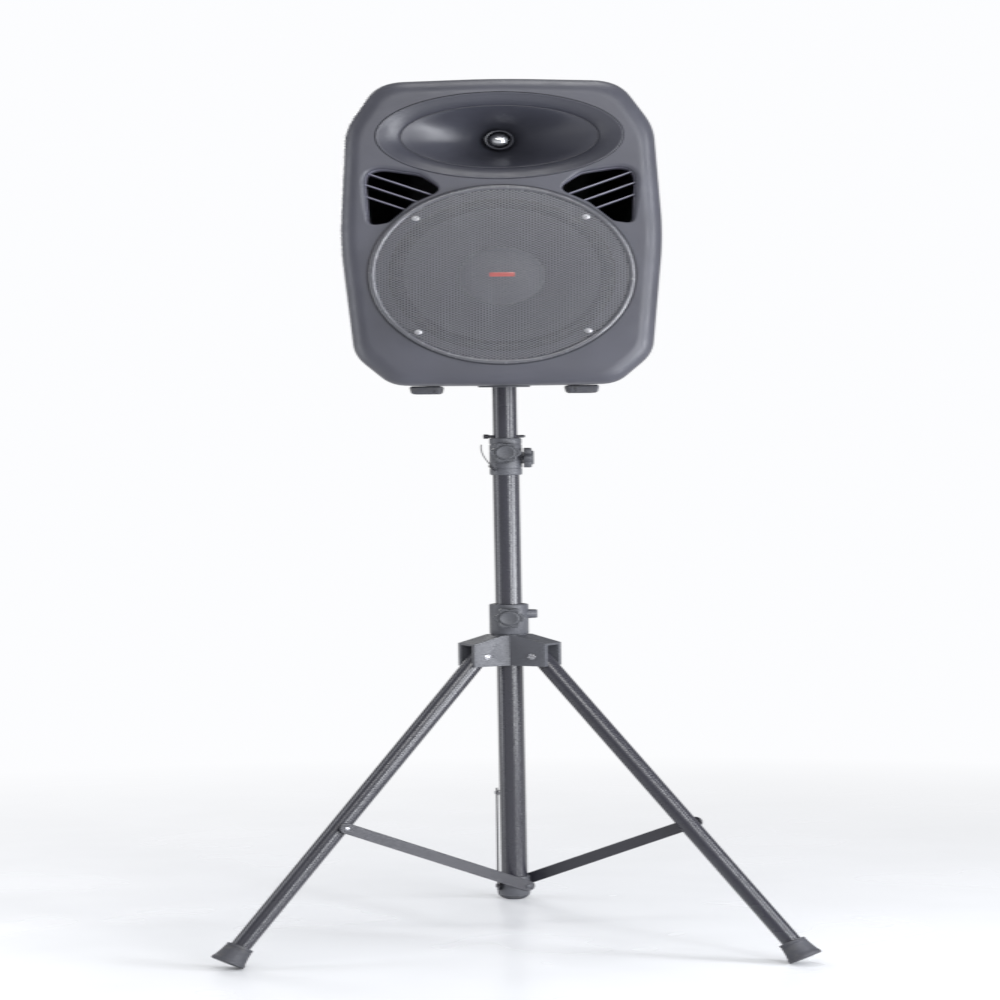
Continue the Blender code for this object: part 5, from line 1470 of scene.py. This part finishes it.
def makeClamp():
    outer = clamp["radius"]
    cut = outer - clamp["groove"]
    room = stand["tubeRadius"] + stand["gap"]
    inner = stand["upperRadius"] + stand["play"]
    low, high = clampLow.z, clampHigh.z
    lip = high - clamp["lip"]
    profile = ((outer - 0.003, high), (outer - 0.0012, high - 0.0005), (outer, high - 0.003),
               (outer, high - 0.012), (cut, high - 0.0128), (cut, high - 0.0142), (outer, high - 0.015),
               (outer, low + 0.016), (cut, low + 0.0152), (cut, low + 0.0138), (outer, low + 0.013),
               (outer, low + 0.003), (outer - 0.0005, low + 0.0012), (outer - 0.0015, low), (room, low),
               (room, lip), (inner, lip), (inner, high))
    piece = turnedShape("clampFine", profile, onMast(), 120)
    wide, start, end = clamp["boss"], room + 0.002, outer + clamp["bossHigh"]
    bosses, ways = [], []
    for _, height, turn in clamp["knobs"]:
        boss = ((0.0, start), (wide, start), (wide - 0.0005, end - 0.001), (wide - 0.0015, end), (0.0, end))
        bosses.append(turnedShape("boss", boss, onMast(height, (turn, "Z")) @ down, 72))
        ways.append(screwWay(height, turn))
    carve(piece, "UNION", *bosses)
    carve(piece, "DIFFERENCE", *ways)
    finish(piece, nylonFinish, "stand", "stand_nylon", "mast_clamp")
    for name, height, turn in clamp["knobs"]:
        node = "clamp_knob_" + name
        makeKnob(node, node, height, turn, end, stand["upperRadius"] + stand["gap"])


def makePinWire():
    radius = clamp["radius"] + clamp["wireClear"]
    start = clampLow.z + clamp["wireFoot"]
    path = []
    for k in range(61):  # round the back of the collar
        t = k / 60
        angle = math.radians(100 + 135 * t)
        path.append(Vector((radius * math.cos(angle), radius * math.sin(angle),
                            start + 0.012 * math.sin(math.pi * t))))
    for k in range(1, 49):  # and up its left side
        t = k / 48
        angle = math.radians(235 - 55 * t)
        reach = radius + 0.011 * math.sin(math.pi * t / 1.6)
        path.append(Vector((reach * math.cos(angle), reach * math.sin(angle), start + clamp["wireRise"] * t)))
    wire = bentRod("pinWireFine", path, clamp["wire"], onMast())
    finish(wire, darkSteelFinish, "stand", "spring_steel", "pin_wire")


def bentRod(name, path, radius, matrix, sides=12):
    rings = []
    side = Vector((0, 0, 1))
    for i, point in enumerate(path):
        along = (path[min(i + 1, len(path) - 1)] - path[max(i - 1, 0)]).normalized()
        side = (side - along * side.dot(along)).normalized()
        across = along.cross(side)
        shrink = 0.6 if i in (0, len(path) - 1) else 1.0
        turns = [2 * math.pi * j / sides for j in range(sides)]
        rings.append([matrix @ (point + (side * math.cos(a) + across * math.sin(a)) * radius * shrink)
                      for a in turns])
    return loftShape(name, rings)


hub = {
    "wall": 0.00925,
    "armFrom": 0.0136,  # so near to the axis that the arms' sides meet in a ridge in front
    "armTop": 0.672,
    "armWidth": 0.048,
    "armReach": 0.072,
    "armDrop": 0.015,
    "roof": 0.004,
    "bush": 0.002,
    "slot": 0.032,
    "knobZ": 0.712,
    "pinHole": 0.0043,
    "round": 0.0011,
}
legs = {
    "azimuths": (210.0, 330.0, 90.0),
    "pivotR": 0.050,
    "pivotZ": 0.629,
    "spread": 0.474,
    "radius": 0.015,
    "wall": 0.0015,
    "head": 0.018,
    "pinHole": 0.0045,
    "capHeight": 0.039,
    "capTop": 0.0205,
    "capSole": 0.026,
    "flat": 0.0018,
}


def sidePlate(name, outline, half, azimuth):
    # An outline of (distance from the mast, height), made a plate across the arm.
    frameHere = onMast(0.0, (azimuth, "Z"))
    rings = [[frameHere @ Vector((x, side * half, z)) for x, z in outline] for side in (-1, 1)]
    return loftShape(name, rings)


def makeHub():
    bore = stand["tubeRadius"] + stand["play"] + hub["bush"] + stand["gap"]
    outer = stand["tubeRadius"] + hub["wall"]
    low, top = hubLow.z, hubHigh.z
    waist = outer - 0.0026  # between the arms, so that it stays behind their ridge
    step = hub["armTop"] + 0.0025
    profile = ((outer - 0.003, top), (outer - 0.0010, top - 0.0006), (outer, top - 0.003),
               (outer, step + 0.002), (outer - 0.0006, step + 0.001), (waist, step),
               (waist, low - 0.002), (bore, low - 0.002), (bore, top))
    piece = turnedShape("hubFine", profile, onMast(), 96)
    half, reach = hub["armWidth"] / 2, hub["armReach"]
    endTop = hub["armTop"] - hub["armDrop"]
    first, start = hub["armFrom"], bore + 0.002
    slope = hub["armDrop"] / (reach - outer)
    startTop = endTop + slope * (reach - start)
    below = low - 0.005
    arms = []
    for azimuth in legs["azimuths"]:
        outline = ((first, below), (reach, below), (reach, endTop), (start, startTop), (first, startTop))
        arms.append(sidePlate("arm", outline, half, azimuth))
    carve(piece, "UNION", *arms)
    tubeWay = ((0.0, top + 0.1), (bore, top + 0.1), (bore, below - 0.1), (0.0, below - 0.1))
    carve(piece, "DIFFERENCE", turnedShape("tubeWay", tubeWay, onMast(), 96))
    slotStart, past = bore + 0.0035, reach + 0.010
    slotTop = startTop - slope * (slotStart - start) - hub["roof"]
    pastTop = endTop - slope * 0.010 - hub["roof"]
    cutters = []
    for azimuth in legs["azimuths"]:
        outline = ((slotStart, below - 0.005), (past, below - 0.005), (past, pastTop), (slotStart, slotTop))
        cutters.append(sidePlate("slot", outline, hub["slot"] / 2, azimuth))
    carve(piece, "DIFFERENCE", *cutters)
    trim = blockShape("underside", (-0.2, -0.2, below - 0.1), (0.2, 0.2, low), onMast())
    carve(piece, "DIFFERENCE", trim)
    z = hub["knobZ"]
    front = ((0.0, bore + 0.002), (0.0165, bore + 0.002), (0.0158, outer + 0.0022), (0.0150, outer + 0.003),
             (0.0, outer + 0.003))
    side = ((0.0, bore + 0.002), (0.0100, bore + 0.002), (0.0093, outer + 0.011), (0.0080, outer + 0.0127),
            (0.0, outer + 0.013))
    carve(piece, "UNION", turnedShape("frontBoss", front, onMast(z) @ down, 64),
          turnedShape("sideBoss", side, onMast(z + 0.006, (90, "Z")) @ down, 64))
    cutters = [screwWay(z, 0.0)]
    for azimuth in legs["azimuths"]:
        place = onMast(legs["pivotZ"], (azimuth, "Z")) @ at(legs["pivotR"], 0, 0, (90, "X"))
        cutters.append(holeCutter(hub["pinHole"], 0.1, place))
    carve(piece, "DIFFERENCE", *cutters)
    turnOut(piece)
    roundEdges(piece, hub["round"], 2, 50.0)
    finish(piece, nylonFinish, "hub", "stand_nylon", "hub")

    inner = bore - stand["gap"]
    bushLow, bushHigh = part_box("hub_bush")
    bush = turnedShape("bushFine", tubeProfile(inner, hub["bush"], bushLow.z, bushHigh.z), onMast(), 72)
    carve(bush, "DIFFERENCE", screwWay(z, 0.0))
    finish(bush, nylonFinish, "hub", "stand_nylon", "hub_bush")
    makeKnob("hub_knob", "hub_knob", z, 0.0, outer + 0.003, stand["tubeRadius"] + stand["gap"])



def makeLegs():
    tilt = math.atan2(legs["spread"] - legs["pivotR"], legs["pivotZ"])
    soleHeight = legs["capSole"] * math.sin(tilt) - legs["flat"]
    length = (legs["pivotZ"] - soleHeight) / math.cos(tilt)
    radius = legs["radius"]
    for number, azimuth in enumerate(legs["azimuths"], 1):
        body = "leg_%d" % number
        hinge = onMast(legs["pivotZ"], (azimuth, "Z")) @ at(legs["pivotR"], 0, 0)
        place = hinge @ Matrix.Rotation(-tilt, 4, "Y")
        low = -(length - 0.008) + stand["gap"]
        tube = turnedShape("legFine", tubeProfile(radius, legs["wall"], low, legs["head"]), place, 72)
        carve(tube, "DIFFERENCE", holeCutter(legs["pinHole"], 0.03, place @ down))
        finish(tube, tubeFinish, body, "stand_paint", body)

        makeCap(number, place, length)
        makeHeadedPin(number, hinge @ down)
        makeStrap(number, azimuth, tilt)


def makeCap(number, place, length):
    top = -(length - legs["capHeight"])
    capTop, cap, bore = legs["capTop"], legs["capSole"], legs["radius"] + stand["gap"]
    profile = [(0.0, -(length - 0.008)), (bore, -(length - 0.008)), (bore, top), (capTop - 0.0015, top),
               (capTop - 0.0004, top - 0.0004), (capTop, top - 0.0015), (capTop + 0.0001, top - 0.0045),
               (capTop - 0.0006, top - 0.0052), (capTop - 0.0005, top - 0.0064),
               (capTop + 0.0003, top - 0.007)]
    for k in range(1, 9):
        t = k / 9
        bulge = (cap - 0.0020 - capTop) * t
        level = (top - 0.007) + (-(length - 0.010) - (top - 0.007)) * t
        profile.append((capTop + bulge - 0.0004 * math.sin(math.pi * t), level))
    profile += [(cap - 0.0018, -(length - 0.0085)), (cap - 0.0010, -(length - 0.0075)),
                (cap, -(length - 0.0050)), (cap, -length + 0.001), (cap - 0.001, -length), (0.0, -length)]
    foot = turnedShape("footFine", profile, place, 96)
    ground = blockShape("ground", (-1.0, -1.0, -0.2), (1.0, 1.0, 0.0))
    carve(foot, "DIFFERENCE", ground)
    finish(foot, rubberFinish, "leg_%d" % number, "foot_rubber", "leg_foot_%d" % number)


def makeHeadedPin(number, place):
    half = hub["armWidth"] / 2 + stand["gap"]
    head, stem = 0.0065, 0.004
    side = [(head - 0.0002, half), (head, half + 0.0004), (head * 0.86, half + 0.0012),
            (head * 0.70, half + 0.0014), (head * 0.62, half + 0.0009), (head * 0.50, half + 0.0012),
            (head * 0.3, half + 0.0018)]
    profile = [(0.0, half + 0.002)] + list(reversed(side)) + [(stem, half), (stem, -half)]
    profile += [(r, -z) for r, z in side] + [(0.0, -(half + 0.002))]
    pin = turnedShape("legPinFine", profile, place, 48)
    finish(pin, steelFinish, "hub", "bright_steel", "leg_pin_%d" % number)


strap = {
    "width": 0.022,
    "thick": 0.003,
    "onLeg": 0.42,  # from the leg's pivot to the strap's outer rivet
    "innerR": -0.009,
    "innerZ": 0.125,
    "rivet": 0.0025,
}
bracket = {"wall": 0.0024, "side": 0.0034, "round": 0.0006}


def barOutline(length, width, steps=20):
    points = []
    for centre, start in ((length, -90.0), (0.0, 90.0)):
        for k in range(steps + 1):
            angle = math.radians(start + 180.0 * k / steps)
            points.append((centre + width / 2 * math.cos(angle), width / 2 * math.sin(angle)))
    return points


def makeStrap(number, azimuth, tilt):
    innerR, innerZ = strap["innerR"], strap["innerZ"]
    outerR = legs["pivotR"] + strap["onLeg"] * math.sin(tilt)
    outerZ = legs["pivotZ"] - strap["onLeg"] * math.cos(tilt)
    length = math.hypot(outerR - innerR, outerZ - innerZ)
    slope = math.atan2(outerZ - innerZ, outerR - innerR)
    place = onMast(innerZ, (azimuth, "Z")) @ at(innerR, 0, 0) @ Matrix.Rotation(-slope, 4, "Y")
    offset = stand["tubeRadius"] + 2 * stand["gap"] + bracket["wall"] + strap["thick"] / 2
    half = strap["thick"] / 2
    rings = []
    for inset, level in ((0.0004, -half), (0.0, -half + 0.0004), (0.0, half - 0.0004), (0.0004, half)):
        ring = barOutline(length, strap["width"] - 2 * inset)
        rings.append([place @ Vector((x, offset + level, z)) for x, z in ring])
    bar = loftShape("strapFine", rings)
    holes = []
    for x, radius in ((0.0, strap["rivet"] + 0.0005), (length, strap["rivet"] + stand["gap"])):
        holes.append(holeCutter(radius, 0.05, place @ at(x, 0, 0, (90, "X"))))
    carve(bar, "DIFFERENCE", *holes)
    body = "strap_%d" % number
    finish(bar, strapFinish, body, "stand_paint", body)

    near, far = legs["radius"] + stand["gap"], offset + half + stand["gap"]
    shank = strap["rivet"]
    under = far - strap["thick"] - 2 * stand["gap"]
    profile = ((0.0, far + 0.002), (shank * 0.5, far + 0.0019), (shank + 0.0006, far + 0.0016),
               (shank + 0.0017, far + 0.0008), (shank + 0.0022, far + 0.0001), (shank + 0.0021, far),
               (shank, far), (shank, under), (shank + 0.0032, under), (shank + 0.0035, under - 0.0003),
               (shank + 0.0035, near + 0.0003), (shank + 0.0032, near), (0.0, near))
    rivet = turnedShape("strapRivetFine", profile, place @ at(length, 0, 0) @ back, 40)
    finish(rivet, steelFinish, body, "bright_steel", "strap_rivet_%d" % number)


def makeBracket():
    outer = stand["tubeRadius"] + bracket["side"]
    bore = stand["tubeRadius"] + stand["gap"]
    low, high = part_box("bottom_bracket")
    wall = bracket["wall"]
    profile = ((0.0, low.z + wall), (bore, low.z + wall), (bore, high.z), (outer - 0.002, high.z),
               (outer - 0.0006, high.z - 0.0006), (outer, high.z - 0.002), (outer, low.z + 0.003),
               (outer - 0.0009, low.z + 0.0009), (outer - 0.003, low.z), (0.0, low.z))
    piece = turnedShape("bracketFine", profile, onMast(), 96)
    face = bore + wall
    flats = []
    for azimuth in legs["azimuths"]:
        box = (Vector((-0.06, face, low.z - 0.01)), Vector((0.06, face + 0.03, high.z + 0.01)))
        flats.append(blockShape("flat", *box, onMast(0.0, (azimuth, "Z"))))
    carve(piece, "DIFFERENCE", *flats)
    roundEdges(piece, bracket["round"], 2, 50.0)
    studs = []
    outside = face + 2 * stand["gap"] + strap["thick"]
    shank = strap["rivet"]
    for azimuth in legs["azimuths"]:
        profile = ((0.0, outside + 0.002), (shank + 0.0008, outside + 0.0017),
                   (shank + 0.0019, outside + 0.0008), (shank + 0.0020, outside), (shank, outside),
                   (shank, face - 0.0015), (0.0, face - 0.0015))
        place = onMast(strap["innerZ"], (azimuth, "Z")) @ at(strap["innerR"], 0, 0) @ back
        studs.append(turnedShape("stud", profile, place, 40))
    merge(piece, *studs)
    finish(piece, nylonFinish, "stand", "stand_nylon", "bottom_bracket", angle=50.0)


makeMast()
makeClamp()
makePinWire()
makeHub()
makeLegs()
makeBracket()
print("stand made")

# What the frame's own pieces look like.
frameFinishes = {
    "stand_paint": tubeFinish,
    "stand_nylon": nylonFinish,
    "spring_steel": darkSteelFinish,
    "bright_steel": steelFinish,
    "foot_rubber": rubberFinish,
    "cabinet_plastic": cabinetFinish,
    "grille_steel": grilleFinish,
    "panel_steel": panelFinish,
    "basket_steel": panelFinish,
    "surround_rubber": surroundFinish,
    "cone_paper": paperFinish,
    "coil_former": sinkFinish,
    "magnet_ferrite": darkSteelFinish,
    "plug_metal": plugFinish,
    "socket_nylon": nylonFinish,
    "sink_aluminium": sinkFinish,
    "board_laminate": boardFinish,
}
for entry in frame["record"]["subparts"]:
    node = frame["nodes"][entry["node"]]
    for held in node.material_slots:
        held.material = frameFinishes[entry["material_slot"]]
print("frame pieces finished")


def makeFloor():
    reach = 14.0
    corners = [(-reach, -reach, 0), (reach, -reach, 0), (reach, reach, 0), (-reach, reach, 0)]
    floor = showMesh("floor", corners, [(0, 1, 2, 3)])
    floor.location.z = -0.0005
    made = Finish("paleFloor", studio["floor"], 0.22)
    made.rough(made.noise(3.0, 2.0), 0.20, 0.30)
    made.tint(made.noise(0.8, 2.0), made.shade(0.985), made.shade(1.015))
    # Far from the stand the floor passes into the white of the studio.
    length = made.nodes.new("ShaderNodeVectorMath")
    length.operation = "LENGTH"
    made.links.new(made.place, length.inputs[0])
    glow = made.nodes.new("ShaderNodeEmission")
    glow.inputs["Color"].default_value = (*studio["sky"], 1.0)
    glow.inputs["Strength"].default_value = studio["skyStrength"]
    mix = made.nodes.new("ShaderNodeMixShader")
    far = made.spread(length.outputs["Value"], 0.0, 1.0, studio["floorNear"], studio["floorFar"])
    made.links.new(far, mix.inputs["Fac"])
    made.links.new(made.shader.outputs["BSDF"], mix.inputs[1])
    made.links.new(glow.outputs["Emission"], mix.inputs[2])
    made.links.new(mix.outputs["Shader"], made.nodes["Material Output"].inputs["Surface"])
    floor.data.materials.append(made.material)


makeFloor()
print("floor laid")
